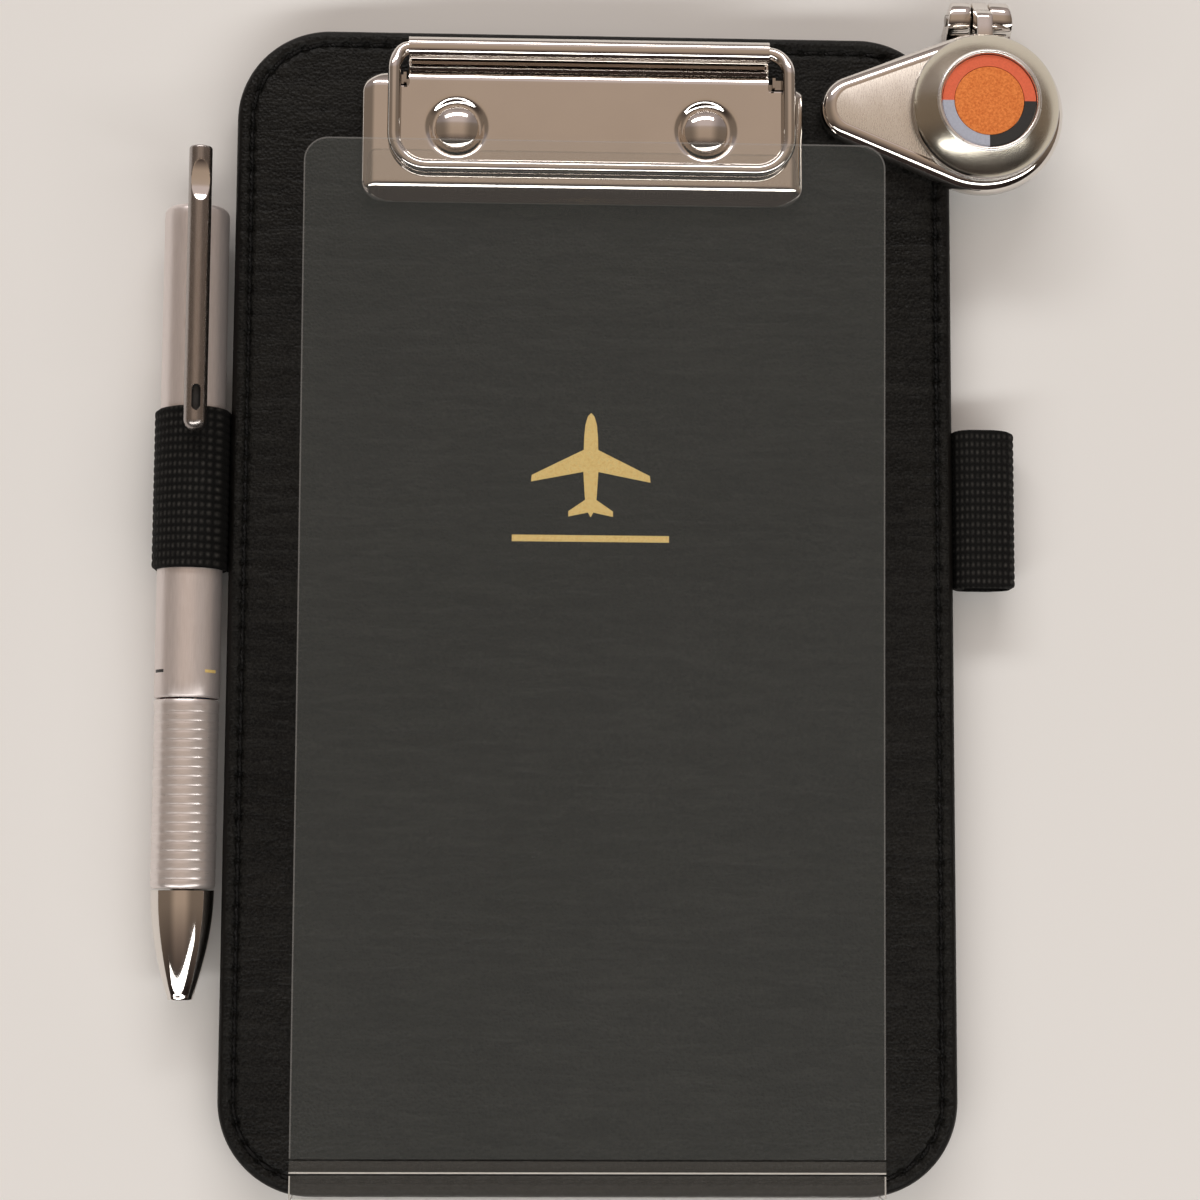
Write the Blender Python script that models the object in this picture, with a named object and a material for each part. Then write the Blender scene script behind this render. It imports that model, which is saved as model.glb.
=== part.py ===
"""Pilot kneeboard: leather board, wire-bail clip, clear cover, pen in its loop, clip-on indicator.

The board lies on its back: +Z is up from its face, +Y points to the clip, +X to the indicator.
Sizes are in millimetres, measured from the board's centre in plan and from the resting surface.
MM turns them into metres, and frame_shift() moves the whole object to its bounding box's centre.
"""

from math import acos, atan2, cos, hypot, pi, radians, sin

import bmesh
import bpy
from mathutils import Matrix, Vector

MM = 0.001
GAP = 0.3

# Board, bottom to top.
BOARD_W = 120.0
BOARD_H = 193.0
CORNER_R = 15.5
BACK_Z = 1.5
TOP_Z = 8.0
LEATHER = 0.9
FOAM_Z = (2.7, 4.1)
CORE_Z = (4.4, 6.8)
RIM_W = 3.5
STITCH_INSET = 2.6
STITCH_GROOVE_W = 1.3
STITCH_GROOVE_D = 0.5
THREAD_W = 0.6

# Elastic loops, each sewn into the board's edge.
LOOP_T = 0.7
EMPTY_LOOP_T = 0.9
LOOP_TAIL_X = 57.0
LOOP_TAIL_Z = (3.6, 5.0)
LEFT_LOOP_Y = (4.7, 31.4)
RIGHT_LOOP_Y = (3.0, 29.6)
RIGHT_LOOP_X = (60.2, 70.7)
RIGHT_LOOP_Z = (1.45, 8.15)

# Pen, lying along Y beside the board's left edge.
PEN_R = 5.35
PEN_FIT = 0.2
PEN_X = -66.4
PEN_Z = LOOP_T + PEN_FIT + PEN_R
PEN_INNER_R = 4.4
BARREL_Y = (-16.4, 65.6)
GRIP_Y = (-47.3, -16.7)
TIP_Y = (-65.2, -47.6)
CLIP_ROD_R = 1.9
CLIP_ROD_Y = (26.6, 73.9)
CLIP_ROD_UP = 8.5
CLIP_ROLL = 9.0
STEM_R = 1.45
REFILL_R = 1.15
PARKED_R = 1.1
PARKED_RADIUS = 2.9
SPRING_R = (1.5, 2.0)

# Paper clip.
RIVET_X = (-23.2, 18.4)
RIVET_Y = 79.0
ROCK_Z = 10.4
PLATE_X = (-39.0, 34.7)
PLATE_T = 0.6
PLATE_TOP = 11.5
LIP_Y = 66.7
RIDGE_Y = 69.3
TONGUE_X = (-31.25, 28.9)
NOTCH_X = (-34.6, 32.8)
NOTCH_Y = 85.9
WING_TOP_Y = (88.6, 87.0)
WING_LAP = 2.0
ROLL_Y = 92.2
ROLL_Z = 12.0
ROLL_R = (1.38, 1.85)
BAIL_R = 1.1
BAIL_X = (-33.6, 32.2)
BAIL_BAR_Y = 71.9
BAIL_BAR_Z = 12.95
BAIL_PIVOT_Y = 87.0
BAIL_PIVOT_Z = 11.5
BAIL_CORNER_R = 5.5
BAIL_SHOULDER = 4.0
BASE_Z = (TOP_Z + GAP, 9.1)
BASE_ARM_X = ((-32.1, -27.0), (25.0, 29.9))
EAR_Y = (86.2, 87.8)
EAR_T = 0.5
EAR_TOP = 13.0
SADDLE_TOP = 11.5
SHANK_HOLE_R = 1.9

# Clear cover.
COVER_X = (-48.2, 48.0)
COVER_T = 0.3
COVER_TOP_Y = 76.0
COVER_CORNER_R = 4.0
TAB_Y = -92.9
HEM_Y = (-92.6, -90.6)
FILM_Y = -90.3
HINGE_LIFT_Z = TOP_Z + 0.45
HINGE_OPEN = (-90.45, TOP_Z + 0.75)
COVER_SLOPE = 2.17
TAB_BACK_Y = -88.0

# Clip-on indicator at the top right corner.
COIN_X = 65.0
COIN_Y = 83.2
TOE_X = 43.6
TOE_Y = 83.6
HEAD_R = 13.8
TOE_R = 5.9
FRONT_JAW_Z = (8.3, 11.9)
FRONT_CHAMFER = 2.2
REAR_JAW_Z = (0.0, 1.2)
REAR_JAW_INSET = 3.0
LUG_FOOT_Y = 91.5
JAW_HINGE_Y = 101.0
JAW_HINGE_Z = 4.75
KNUCKLE_R = 3.1
PIN_R = 1.0
PIN_HOLE_R = 1.15
HINGE_X = 65.5
RIB_HALF = 1.4
LUG_X = (1.9, 5.6)
MAGNET_R = 6.0
MAGNET_Z = (10.3, 11.8)
COIN_Z = 12.2
COIN_R = 12.4
COIN_TOP = 18.0
WINDOW_R = 7.9
SENSOR_R = 5.65


def frame_shift():
    """Moves the board's centre so that the whole object's box is centred on the origin in plan."""
    low_x = PEN_X - PEN_R - PEN_FIT - LOOP_T
    high_x = COIN_X + HEAD_R
    low_y = -BOARD_H / 2 - GAP - COVER_T
    high_y = JAW_HINGE_Y + KNUCKLE_R
    return Vector((-(low_x + high_x) / 2, -(low_y + high_y) / 2, 0.0)) * MM


PIVOTS = {
    "root": (0, 0, 0),
    "bail": (0, BAIL_PIVOT_Y, BAIL_PIVOT_Z),
    "clip_plate": (0, RIVET_Y, ROCK_Z),
    "cover_hem": (0, TAB_Y + GAP / 2, HINGE_LIFT_Z),
    "cover": (0, HINGE_OPEN[0], HINGE_OPEN[1]),
    "front_jaw": (HINGE_X, JAW_HINGE_Y, JAW_HINGE_Z),
    "marker": (COIN_X, COIN_Y, COIN_Z),
    "pen": (PEN_X, 0, PEN_Z),
    "clicker": (PEN_X, 0, PEN_Z),
    "refill": (PEN_X, 0, PEN_Z),
}

FINISHES = {
    "leather": ((0.012, 0.011, 0.010), 0.55, 0.0),
    "board": ((0.20, 0.16, 0.11), 0.9, 0.0),
    "foam": ((0.05, 0.05, 0.05), 1.0, 0.0),
    "thread": ((0.010, 0.010, 0.010), 0.8, 0.0),
    "elastic": ((0.010, 0.010, 0.010), 0.9, 0.0),
    "chrome": ((0.62, 0.58, 0.54), 0.12, 1.0),
    "steel": ((0.50, 0.48, 0.46), 0.35, 1.0),
    "satin": ((0.52, 0.49, 0.47), 0.38, 1.0),
    "clear": ((0.80, 0.80, 0.78), 0.15, 0.0),
    "card": ((0.80, 0.14, 0.06), 0.7, 0.0),
    "sensor": ((0.80, 0.22, 0.05), 0.9, 0.0),
    "ink_black": ((0.03, 0.03, 0.03), 0.4, 0.0),
    "ink_blue": ((0.03, 0.08, 0.40), 0.4, 0.0),
    "ink_red": ((0.50, 0.03, 0.03), 0.4, 0.0),
}


def clear_scene():
    for item in list(bpy.data.objects):
        bpy.data.objects.remove(item, do_unlink=True)


def finish(name):
    colour, roughness, metallic = FINISHES[name]
    material = bpy.data.materials.new(name)
    material.use_nodes = True
    shader = material.node_tree.nodes["Principled BSDF"]
    shader.inputs["Base Color"].default_value = (*colour, 1.0)
    shader.inputs["Roughness"].default_value = roughness
    shader.inputs["Metallic"].default_value = metallic
    material.diffuse_color = (*colour, 1.0)
    return material


def add_piece(name, shape, material, body="root", smooth=True):
    """Makes the object, with its origin on its body's joint, from a bmesh in board millimetres."""
    pivot = Vector(PIVOTS[body])
    bmesh.ops.recalc_face_normals(shape, faces=shape.faces)
    bmesh.ops.translate(shape, vec=-pivot, verts=shape.verts)
    bmesh.ops.scale(shape, vec=(MM, MM, MM), verts=shape.verts)
    mesh = bpy.data.meshes.new(name)
    shape.to_mesh(mesh)
    shape.free()
    if smooth:
        mesh.shade_smooth()
        mesh.set_sharp_from_angle(angle=radians(35))
    item = bpy.data.objects.new(name, mesh)
    item.location = pivot * MM + frame_shift()
    bpy.context.scene.collection.objects.link(item)
    if material:
        mesh.materials.append(finish(material))
    return item


def add_boolean(item, operation, shape, label, body="root"):
    """Joins or cuts the item with a helper shape, which is kept as a hidden guide."""
    helper = add_piece(f"{item.name}_{label}_guide", shape, None, body, smooth=False)
    helper.hide_render = True
    helper.display_type = "WIRE"
    modifier = item.modifiers.new(label, "BOOLEAN")
    modifier.operation = operation
    modifier.solver = "EXACT"
    modifier.object = helper


def rounded_rect(x, y, inset=0.0, radius=0.0, steps=6):
    """Outline of the box x = (low, high), y = (low, high), shrunk by inset, with round corners."""
    corner = max(radius - inset, 0.05)
    left, right = x[0] + inset + corner, x[1] - inset - corner
    low, high = y[0] + inset + corner, y[1] - inset - corner
    centres = ((right, high), (left, high), (left, low), (right, low))
    points = []
    for quarter, (cx, cy) in enumerate(centres):
        for step in range(steps + 1):
            angle = (quarter + step / steps) * pi / 2
            points.append((cx + corner * cos(angle), cy + corner * sin(angle)))
    return points


def board_outline(inset):
    half_w, half_h = BOARD_W / 2, BOARD_H / 2
    return rounded_rect((-half_w, half_w), (-half_h, half_h), inset, CORNER_R, steps=7)


def teardrop(inset, steps=10):
    """Outline round the head circle and the toe circle, both shrunk by inset."""
    lean = atan2(TOE_Y - COIN_Y, TOE_X - COIN_X)
    reach = hypot(TOE_X - COIN_X, TOE_Y - COIN_Y)
    tangent = acos((HEAD_R - TOE_R) / reach)
    points = []
    for centre, radius, start, sweep, count in (
        ((COIN_X, COIN_Y), HEAD_R - inset, lean + tangent, 2 * pi - 2 * tangent, steps * 3),
        ((TOE_X, TOE_Y), TOE_R - inset, lean - tangent, 2 * tangent, steps),
    ):
        for step in range(count + 1):
            angle = start + sweep * step / count
            points.append((centre[0] + radius * cos(angle), centre[1] + radius * sin(angle)))
    return points


def stack(levels, closed=False):
    """Solid through the outlines in levels, (outline, z) pairs, capped at both ends or a closed ring."""
    shape = bmesh.new()
    rings = [[shape.verts.new((px, py, z)) for px, py in outline] for outline, z in levels]
    pairs = list(zip(rings, rings[1:]))
    if closed:
        pairs.append((rings[-1], rings[0]))
    for lower, upper in pairs:
        for index in range(len(lower)):
            after = (index + 1) % len(lower)
            shape.faces.new((lower[index], lower[after], upper[after], upper[index]))
    if not closed:
        shape.faces.new(list(reversed(rings[0])))
        shape.faces.new(rings[-1])
    return shape


def box(x, y, z):
    corners = [(x[0], y[0]), (x[1], y[0]), (x[1], y[1]), (x[0], y[1])]
    return stack([(corners, z[0]), (corners, z[1])])


def turned(profile, centre, axis="Z", steps=24):
    """Turns (radius, height) points about an axis. Points on the axis close the solid there."""
    shape = bmesh.new()
    rings = []
    for radius, height in profile:
        if radius == 0:
            rings.append([shape.verts.new((0, 0, height))])
            continue
        angles = [2 * pi * step / steps for step in range(steps)]
        rings.append([shape.verts.new((radius * cos(a), radius * sin(a), height)) for a in angles])
    pairs = list(zip(rings, rings[1:]))
    if len(rings[0]) > 1 and len(rings[-1]) > 1:
        pairs.append((rings[-1], rings[0]))
    for lower, upper in pairs:
        for index in range(steps):
            after = (index + 1) % steps
            if len(lower) == 1:
                shape.faces.new((lower[0], upper[after], upper[index]))
            elif len(upper) == 1:
                shape.faces.new((lower[index], lower[after], upper[0]))
            else:
                shape.faces.new((lower[index], lower[after], upper[after], upper[index]))
    turns = {"Z": Matrix(), "Y": Matrix.Rotation(-pi / 2, 4, "X"), "X": Matrix.Rotation(pi / 2, 4, "Y")}
    bmesh.ops.transform(shape, matrix=Matrix.Translation(centre) @ turns[axis], verts=shape.verts)
    return shape


def cylinder(radius, low, high, centre, axis="Z", steps=24):
    return turned([(0, low), (radius, low), (radius, high), (0, high)], centre, axis, steps)


def extruded(profile, low, high, axis):
    """Extrudes a flat outline: (y, z) points along X, or (x, z) points along Y."""
    shape = bmesh.new()
    ends = []
    for place in (low, high):
        if axis == "X":
            ends.append([shape.verts.new((place, u, v)) for u, v in profile])
        else:
            ends.append([shape.verts.new((u, place, v)) for u, v in profile])
    for index in range(len(profile)):
        after = (index + 1) % len(profile)
        shape.faces.new((ends[0][index], ends[0][after], ends[1][after], ends[1][index]))
    shape.faces.new(list(reversed(ends[0])))
    shape.faces.new(ends[1])
    return shape


def sheet_profile(line, thickness):
    """Outline of a bent sheet whose middle follows the line."""
    sides = ([], [])
    for index, point in enumerate(line):
        before = line[max(index - 1, 0)]
        after = line[min(index + 1, len(line) - 1)]
        along = Vector((after[0] - before[0], after[1] - before[1])).normalized()
        across = Vector((-along.y, along.x)) * thickness / 2
        sides[0].append((point[0] + across.x, point[1] + across.y))
        sides[1].append((point[0] - across.x, point[1] - across.y))
    return sides[0] + sides[1][::-1]


def arc(centre, radius, start, end, steps):
    """Points on an arc, from start to end degrees."""
    angles = [radians(start + (end - start) * step / steps) for step in range(steps + 1)]
    return [(centre[0] + radius * cos(a), centre[1] + radius * sin(a)) for a in angles]


def combined(*shapes):
    """Several shapes in one bmesh."""
    whole = bmesh.new()
    for shape in shapes:
        bmesh.ops.recalc_face_normals(shape, faces=shape.faces)
        mesh = bpy.data.meshes.new("joined")
        shape.to_mesh(mesh)
        shape.free()
        whole.from_mesh(mesh)
        bpy.data.meshes.remove(mesh)
    return whole


def rivet_holes(radius, low, high):
    return combined(*[cylinder(radius, low, high, (x, RIVET_Y, 0)) for x in RIVET_X])


# Board ---------------------------------------------------------------------------------------


def thread_ring(low, high):
    outer = board_outline(STITCH_INSET - THREAD_W / 2)
    inner = board_outline(STITCH_INSET + THREAD_W / 2)
    return stack([(outer, low), (inner, low), (inner, high), (outer, high)], closed=True)


def make_board():
    groove = (STITCH_INSET - STITCH_GROOVE_W / 2, STITCH_INSET + STITCH_GROOVE_W / 2)
    floor = BACK_Z + STITCH_GROOVE_D
    rear = [
        (board_outline(groove[1]), BACK_Z),
        (board_outline(groove[1]), floor),
        (board_outline(groove[0]), floor),
        (board_outline(groove[0]), BACK_Z),
        (board_outline(0.5), BACK_Z),
        (board_outline(0), BACK_Z + 0.4),
        (board_outline(0), BACK_Z + LEATHER),
    ]
    add_piece("rear_leather", stack(rear), "leather")
    add_piece("rear_stitching", thread_ring(BACK_Z, floor - 0.25), "thread")

    edge = board_outline(RIM_W + GAP)
    foam = add_piece("foam_pad", stack([(edge, FOAM_Z[0]), (edge, FOAM_Z[1])]), "foam")
    add_boolean(foam, "DIFFERENCE", rivet_holes(4.3, FOAM_Z[0] - 1, FOAM_Z[1] + 1), "washer_holes")
    core = add_piece("core_board", stack([(edge, CORE_Z[0]), (edge, CORE_Z[1])]), "board")
    add_boolean(core, "DIFFERENCE", rivet_holes(SHANK_HOLE_R, CORE_Z[0] - 1, CORE_Z[1] + 1), "rivet_holes")

    floor = TOP_Z - STITCH_GROOVE_D
    ceiling = TOP_Z - LEATHER
    bottom = BACK_Z + LEATHER + GAP
    front = [
        (board_outline(RIM_W), ceiling),
        (board_outline(RIM_W), bottom),
        (board_outline(0), bottom),
        (board_outline(0), TOP_Z - 0.8),
        (board_outline(0.25), TOP_Z - 0.25),
        (board_outline(0.8), TOP_Z),
        (board_outline(groove[0]), TOP_Z),
        (board_outline(groove[0]), floor),
        (board_outline(groove[1]), floor),
        (board_outline(groove[1]), TOP_Z),
    ]
    leather = add_piece("front_leather", stack(front), "leather")
    cuts = []
    for side, reach in ((-1, LEFT_LOOP_Y), (1, RIGHT_LOOP_Y)):
        x = sorted((side * (LOOP_TAIL_X - 1.5), side * (BOARD_W / 2 + 1)))
        z = (bottom - 1, LOOP_TAIL_Z[1] + GAP)
        cuts.append(box(x, (reach[0] - GAP, reach[1] + GAP), z))
    add_boolean(leather, "DIFFERENCE", combined(*cuts), "loop_slots")
    add_boolean(leather, "DIFFERENCE", rivet_holes(SHANK_HOLE_R, ceiling - 0.1, TOP_Z + 1), "rivet_holes")
    add_piece("front_stitching", thread_ring(floor + GAP, TOP_Z + 0.05), "thread")


def elastic_loop(name, x, z, thickness, corner, reach, side):
    """Band round a rounded box, with both ends sewn together into the board's edge."""
    outer = rounded_rect(x, z, 0, corner, steps=7)
    inner = rounded_rect(x, z, thickness, corner, steps=7)
    band = stack([(outer, reach[0]), (inner, reach[0]), (inner, reach[1]), (outer, reach[1])], closed=True)
    for vert in band.verts:
        vert.co = (vert.co.x, vert.co.z, vert.co.y)
    loop = add_piece(name, band, "elastic")
    edge = x[1] if side < 0 else x[0]
    tail = sorted((side * LOOP_TAIL_X, edge + side * thickness * 0.6))
    add_boolean(loop, "UNION", box(tail, (reach[0] + 0.02, reach[1] - 0.02), LOOP_TAIL_Z), "tail")


def make_loops():
    radius = PEN_R + PEN_FIT + LOOP_T
    round_x = (PEN_X - radius, PEN_X + radius)
    round_z = (PEN_Z - radius, PEN_Z + radius)
    elastic_loop("left_pen_loop", round_x, round_z, LOOP_T, radius, LEFT_LOOP_Y, -1)
    elastic_loop("right_pen_loop", RIGHT_LOOP_X, RIGHT_LOOP_Z, EMPTY_LOOP_T, 3.2, RIGHT_LOOP_Y, 1)


# Paper clip ----------------------------------------------------------------------------------


def make_clip_base():
    """Strip under the plate with two arms, each ending in an ear and a saddle under the bail's wire."""
    strip = box((-29.5, 26.9), (75.5, 83.0), BASE_Z)
    base = add_piece("clip_base", strip, "steel", smooth=False)
    root = BASE_Z[1] - EAR_T
    for side, label, arm_x, wire_x in zip((-1, 1), ("left", "right"), BASE_ARM_X, BAIL_X):
        arm = box(arm_x, (81.0, EAR_Y[1]), BASE_Z)
        add_boolean(base, "UNION", arm, f"{label}_arm")
        outer = min(arm_x) if side < 0 else max(arm_x)
        inner = outer - side * EAR_T
        tip = wire_x + side * 0.3
        ear = [(inner, root), (inner, EAR_TOP), (outer, EAR_TOP), (outer, SADDLE_TOP), (tip, SADDLE_TOP)]
        ear += [(tip, SADDLE_TOP - EAR_T), (outer, SADDLE_TOP - EAR_T), (outer, root)]
        add_boolean(base, "UNION", extruded(ear, EAR_Y[0], EAR_Y[1] - 0.01, "Y"), f"{label}_ear")
    add_boolean(base, "DIFFERENCE", rivet_holes(SHANK_HOLE_R, BASE_Z[0] - 1, BASE_Z[1] + 1), "rivet_holes")


def make_rivets():
    head = [(1.6, 11.2), (3.3, 11.2), (3.65, 11.45), (3.3, 11.95), (2.2, 12.35), (0, 12.5)]
    shank = [(0, 2.7), (2.4, 2.7), (2.4, 3.0), (1.6, 3.0)]
    washer = [(1.9, 3.3), (3.9, 3.3), (3.9, 4.1), (1.9, 4.1)]
    for side, x in zip(("left", "right"), RIVET_X):
        add_piece(f"rivet_{side}", turned(shank + head, (x, RIVET_Y, 0)), "chrome")
        add_piece(f"rivet_washer_{side}", turned(washer, (x, RIVET_Y, 0)), "steel")


def make_clip_spring():
    line = [(76.5, 9.6), (80.5, 9.6), (83.0, 9.85), (86.0, 10.35)]
    leaf = extruded(sheet_profile(line, 0.35), -12.0, 8.0, "X")
    add_piece("clip_spring", leaf, "steel", smooth=False)


def plate_line():
    """Middle of the plate's sheet from the lip to the flat."""
    middle = PLATE_TOP - PLATE_T / 2
    lip = [(LIP_Y + 0.1, 8.65), (LIP_Y + 0.5, 9.3), (RIDGE_Y - 1.0, 10.7), (RIDGE_Y - 0.4, 11.05)]
    return [*lip, (RIDGE_Y + 0.5, middle)]


def plate_wing(x, top_y):
    """Flat sheet beside the tongue, with its outer side and its top rolled down."""
    drop, width = 1.3, 1.8
    line = plate_line() + [(top_y - width, PLATE_TOP - PLATE_T / 2)]
    rolled = [(top_y - width * 0.4, PLATE_TOP - PLATE_T / 2 - drop * 0.3), (top_y, 9.9)]
    line += rolled
    outer, inner = x
    turn = 1 if inner > outer else -1
    stations = [outer, outer + turn * 0.5, outer + turn * width, inner]
    drops = [drop, drop * 0.45, 0.0, 0.0]
    shape = bmesh.new()
    sheet = sheet_profile(line, PLATE_T)
    rings = []
    for station, fall in zip(stations, drops):
        ring = []
        for py, pz in sheet:
            room = max(0.0, min(1.0, (pz - 9.2) / 1.2))
            ring.append(shape.verts.new((station, py, pz - fall * room)))
        rings.append(ring)
    for first, second in zip(rings, rings[1:]):
        for index in range(len(sheet)):
            after = (index + 1) % len(sheet)
            shape.faces.new((first[index], first[after], second[after], second[index]))
    shape.faces.new(list(reversed(rings[0])))
    shape.faces.new(rings[-1])
    return shape


def make_clip_plate():
    middle = PLATE_TOP - PLATE_T / 2
    roll_mid = (ROLL_R[0] + ROLL_R[1]) / 2
    line = plate_line() + [(87.0, middle), (88.0, middle - 0.15), (89.2, middle - 0.55), (90.5, middle - 0.7)]
    line += arc((ROLL_Y, ROLL_Z), roll_mid, 258, 462, 14)
    thickness = ROLL_R[1] - ROLL_R[0]
    tongue = extruded(sheet_profile(line, thickness), TONGUE_X[0], TONGUE_X[1], "X")
    plate = add_piece("clip_plate", tongue, "chrome", "clip_plate")
    wings = (("left", 1), ("right", -1))
    for (label, inward), outer, edge, top_y, notch in zip(wings, PLATE_X, TONGUE_X, WING_TOP_Y, NOTCH_X):
        inner = edge + inward * WING_LAP
        wing = plate_wing((outer, inner), top_y)
        side = add_piece(f"{label}_wing_guide", wing, None, "clip_plate", smooth=False)
        x = sorted((notch, inner + inward * 0.5))
        add_boolean(side, "DIFFERENCE", box(x, (NOTCH_Y, 95), (5, 15)), "notch", "clip_plate")
        side.hide_render = True
        side.display_type = "WIRE"
        join = plate.modifiers.new(f"{label}_wing", "BOOLEAN")
        join.operation = "UNION"
        join.solver = "EXACT"
        join.object = side
    seats = combined(*[cylinder(4.6, 9, 14, (x, RIVET_Y, 0), steps=32) for x in RIVET_X])
    add_boolean(plate, "DIFFERENCE", seats, "seats", "clip_plate")
    dish = [(4.7, 11.42), (4.1, 10.95), (3.8, 10.7), (2.3, 10.7), (2.3, 10.1)]
    dish += [(4.1, 10.1), (4.7, 10.5), (5.0, 10.98), (5.0, 11.42)]
    dishes = combined(*[turned(dish, (x, RIVET_Y, 0), steps=32) for x in RIVET_X])
    add_boolean(plate, "UNION", dishes, "dishes", "clip_plate")


def bail_path():
    """Closed route of the wire's middle, as (x, y, z) points."""
    left, right = BAIL_X
    shoulder = ROLL_Y - BAIL_SHOULDER
    low = BAIL_BAR_Y + BAIL_CORNER_R
    corners = (
        ((TONGUE_X[1], shoulder), (right - TONGUE_X[1], BAIL_SHOULDER), 90),
        ((right - BAIL_CORNER_R, low), (BAIL_CORNER_R, BAIL_CORNER_R), 0),
        ((left + BAIL_CORNER_R, low), (BAIL_CORNER_R, BAIL_CORNER_R), -90),
        ((TONGUE_X[0], shoulder), (TONGUE_X[0] - left, BAIL_SHOULDER), 180),
    )
    route = []
    for (cx, cy), (rx, ry), start in corners:
        for step in range(7):
            angle = radians(start - 90 * step / 6)
            px, py = cx + rx * cos(angle), cy + ry * sin(angle)
            part = max(0.0, (py - shoulder) / BAIL_SHOULDER)
            fall = part * part * (3 - 2 * part)
            route.append(Vector((px, py, BAIL_BAR_Z + fall * (ROLL_Z - BAIL_BAR_Z))))
    return route


def make_bail():
    route = bail_path()
    shape = bmesh.new()
    rings = []
    steps = 12
    for index, point in enumerate(route):
        along = (route[(index + 1) % len(route)] - route[index - 1]).normalized()
        side = along.cross(Vector((0, 0, 1))).normalized()
        lift = side.cross(along)
        ring = []
        for step in range(steps):
            angle = 2 * pi * step / steps
            ring.append(shape.verts.new(point + BAIL_R * (cos(angle) * side + sin(angle) * lift)))
        rings.append(ring)
    for index, ring in enumerate(rings):
        following = rings[(index + 1) % len(rings)]
        for step in range(steps):
            after = (step + 1) % steps
            shape.faces.new((ring[step], ring[after], following[after], following[step]))
    add_piece("wire_bail", shape, "chrome", "bail")


# Clear cover ---------------------------------------------------------------------------------


def make_cover():
    edge = -BOARD_H / 2 - GAP - COVER_T / 2
    over = TOP_Z + GAP + COVER_T / 2
    under = BACK_Z - GAP - COVER_T / 2
    line = [(TAB_Y, over), (edge + 0.6, over), (edge + 0.15, over - 0.2), (edge, over - 0.6)]
    line += [(edge, under + 0.6), (edge + 0.15, under + 0.2), (edge + 0.6, under), (TAB_BACK_Y, under)]
    tab = extruded(sheet_profile(line, COVER_T), COVER_X[0], COVER_X[1], "X")
    add_piece("cover_tab", tab, "clear", smooth=False)
    low, high = TOP_Z + GAP, TOP_Z + GAP + COVER_T
    add_piece("cover_hem", box(COVER_X, HEM_Y, (low, high)), "clear", "cover_hem", smooth=False)
    panel = stack([(cover_outline(), low), (cover_outline(), high)])
    start = Vector((0, FILM_Y, (low + high) / 2))
    tilt = Matrix.Rotation(radians(COVER_SLOPE), 4, "X")
    about = Matrix.Translation(start) @ tilt @ Matrix.Translation(-start)
    bmesh.ops.transform(panel, matrix=about, verts=panel.verts)
    add_piece("cover_film", panel, "clear", "cover", smooth=False)


def cover_outline():
    """Square corners at the hinge and round corners at the free end."""
    points = []
    for start, cx in ((0, COVER_X[1] - COVER_CORNER_R), (90, COVER_X[0] + COVER_CORNER_R)):
        points += arc((cx, COVER_TOP_Y - COVER_CORNER_R), COVER_CORNER_R, start, start + 90, 6)
    return points + [(COVER_X[0], FILM_Y), (COVER_X[1], FILM_Y)]


# Clip-on indicator ---------------------------------------------------------------------------


def make_front_jaw():
    low, high = FRONT_JAW_Z
    levels = [(0.3, low), (0.0, low + 0.3), (0.0, low + 1.6), (0.5, low + 2.3), (FRONT_CHAMFER, high)]
    jaw = add_piece("front_jaw", stack([(teardrop(i), z) for i, z in levels]), "chrome", "front_jaw")
    root = COIN_Y + HEAD_R - 4.0
    rib = [(root, high - 0.3), (root, low + 0.4), (root + 3.0, low + 0.4)]
    rib += [(JAW_HINGE_Y - 2.1, JAW_HINGE_Z + 2.2)]
    rib += arc((JAW_HINGE_Y, JAW_HINGE_Z), KNUCKLE_R, 150, 430, 16)
    rib += [(JAW_HINGE_Y - 0.7, 9.4), (JAW_HINGE_Y - 3.0, high - 0.5)]
    rib_x = (HINGE_X - RIB_HALF, HINGE_X + RIB_HALF)
    add_boolean(jaw, "UNION", extruded(rib, *rib_x, "X"), "rib", "front_jaw")
    pin_hole = cylinder(PIN_HOLE_R, -4, 4, (HINGE_X, JAW_HINGE_Y, JAW_HINGE_Z), "X")
    add_boolean(jaw, "DIFFERENCE", pin_hole, "pin_hole", "front_jaw")
    pocket = cylinder(MAGNET_R + GAP, MAGNET_Z[0] - GAP, high + 1, (COIN_X, COIN_Y, 0), steps=32)
    add_boolean(jaw, "DIFFERENCE", pocket, "magnet_pocket", "front_jaw")
    magnet = cylinder(MAGNET_R, *MAGNET_Z, (COIN_X, COIN_Y, 0), steps=32)
    add_piece("jaw_magnet", magnet, "steel", "front_jaw")


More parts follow.
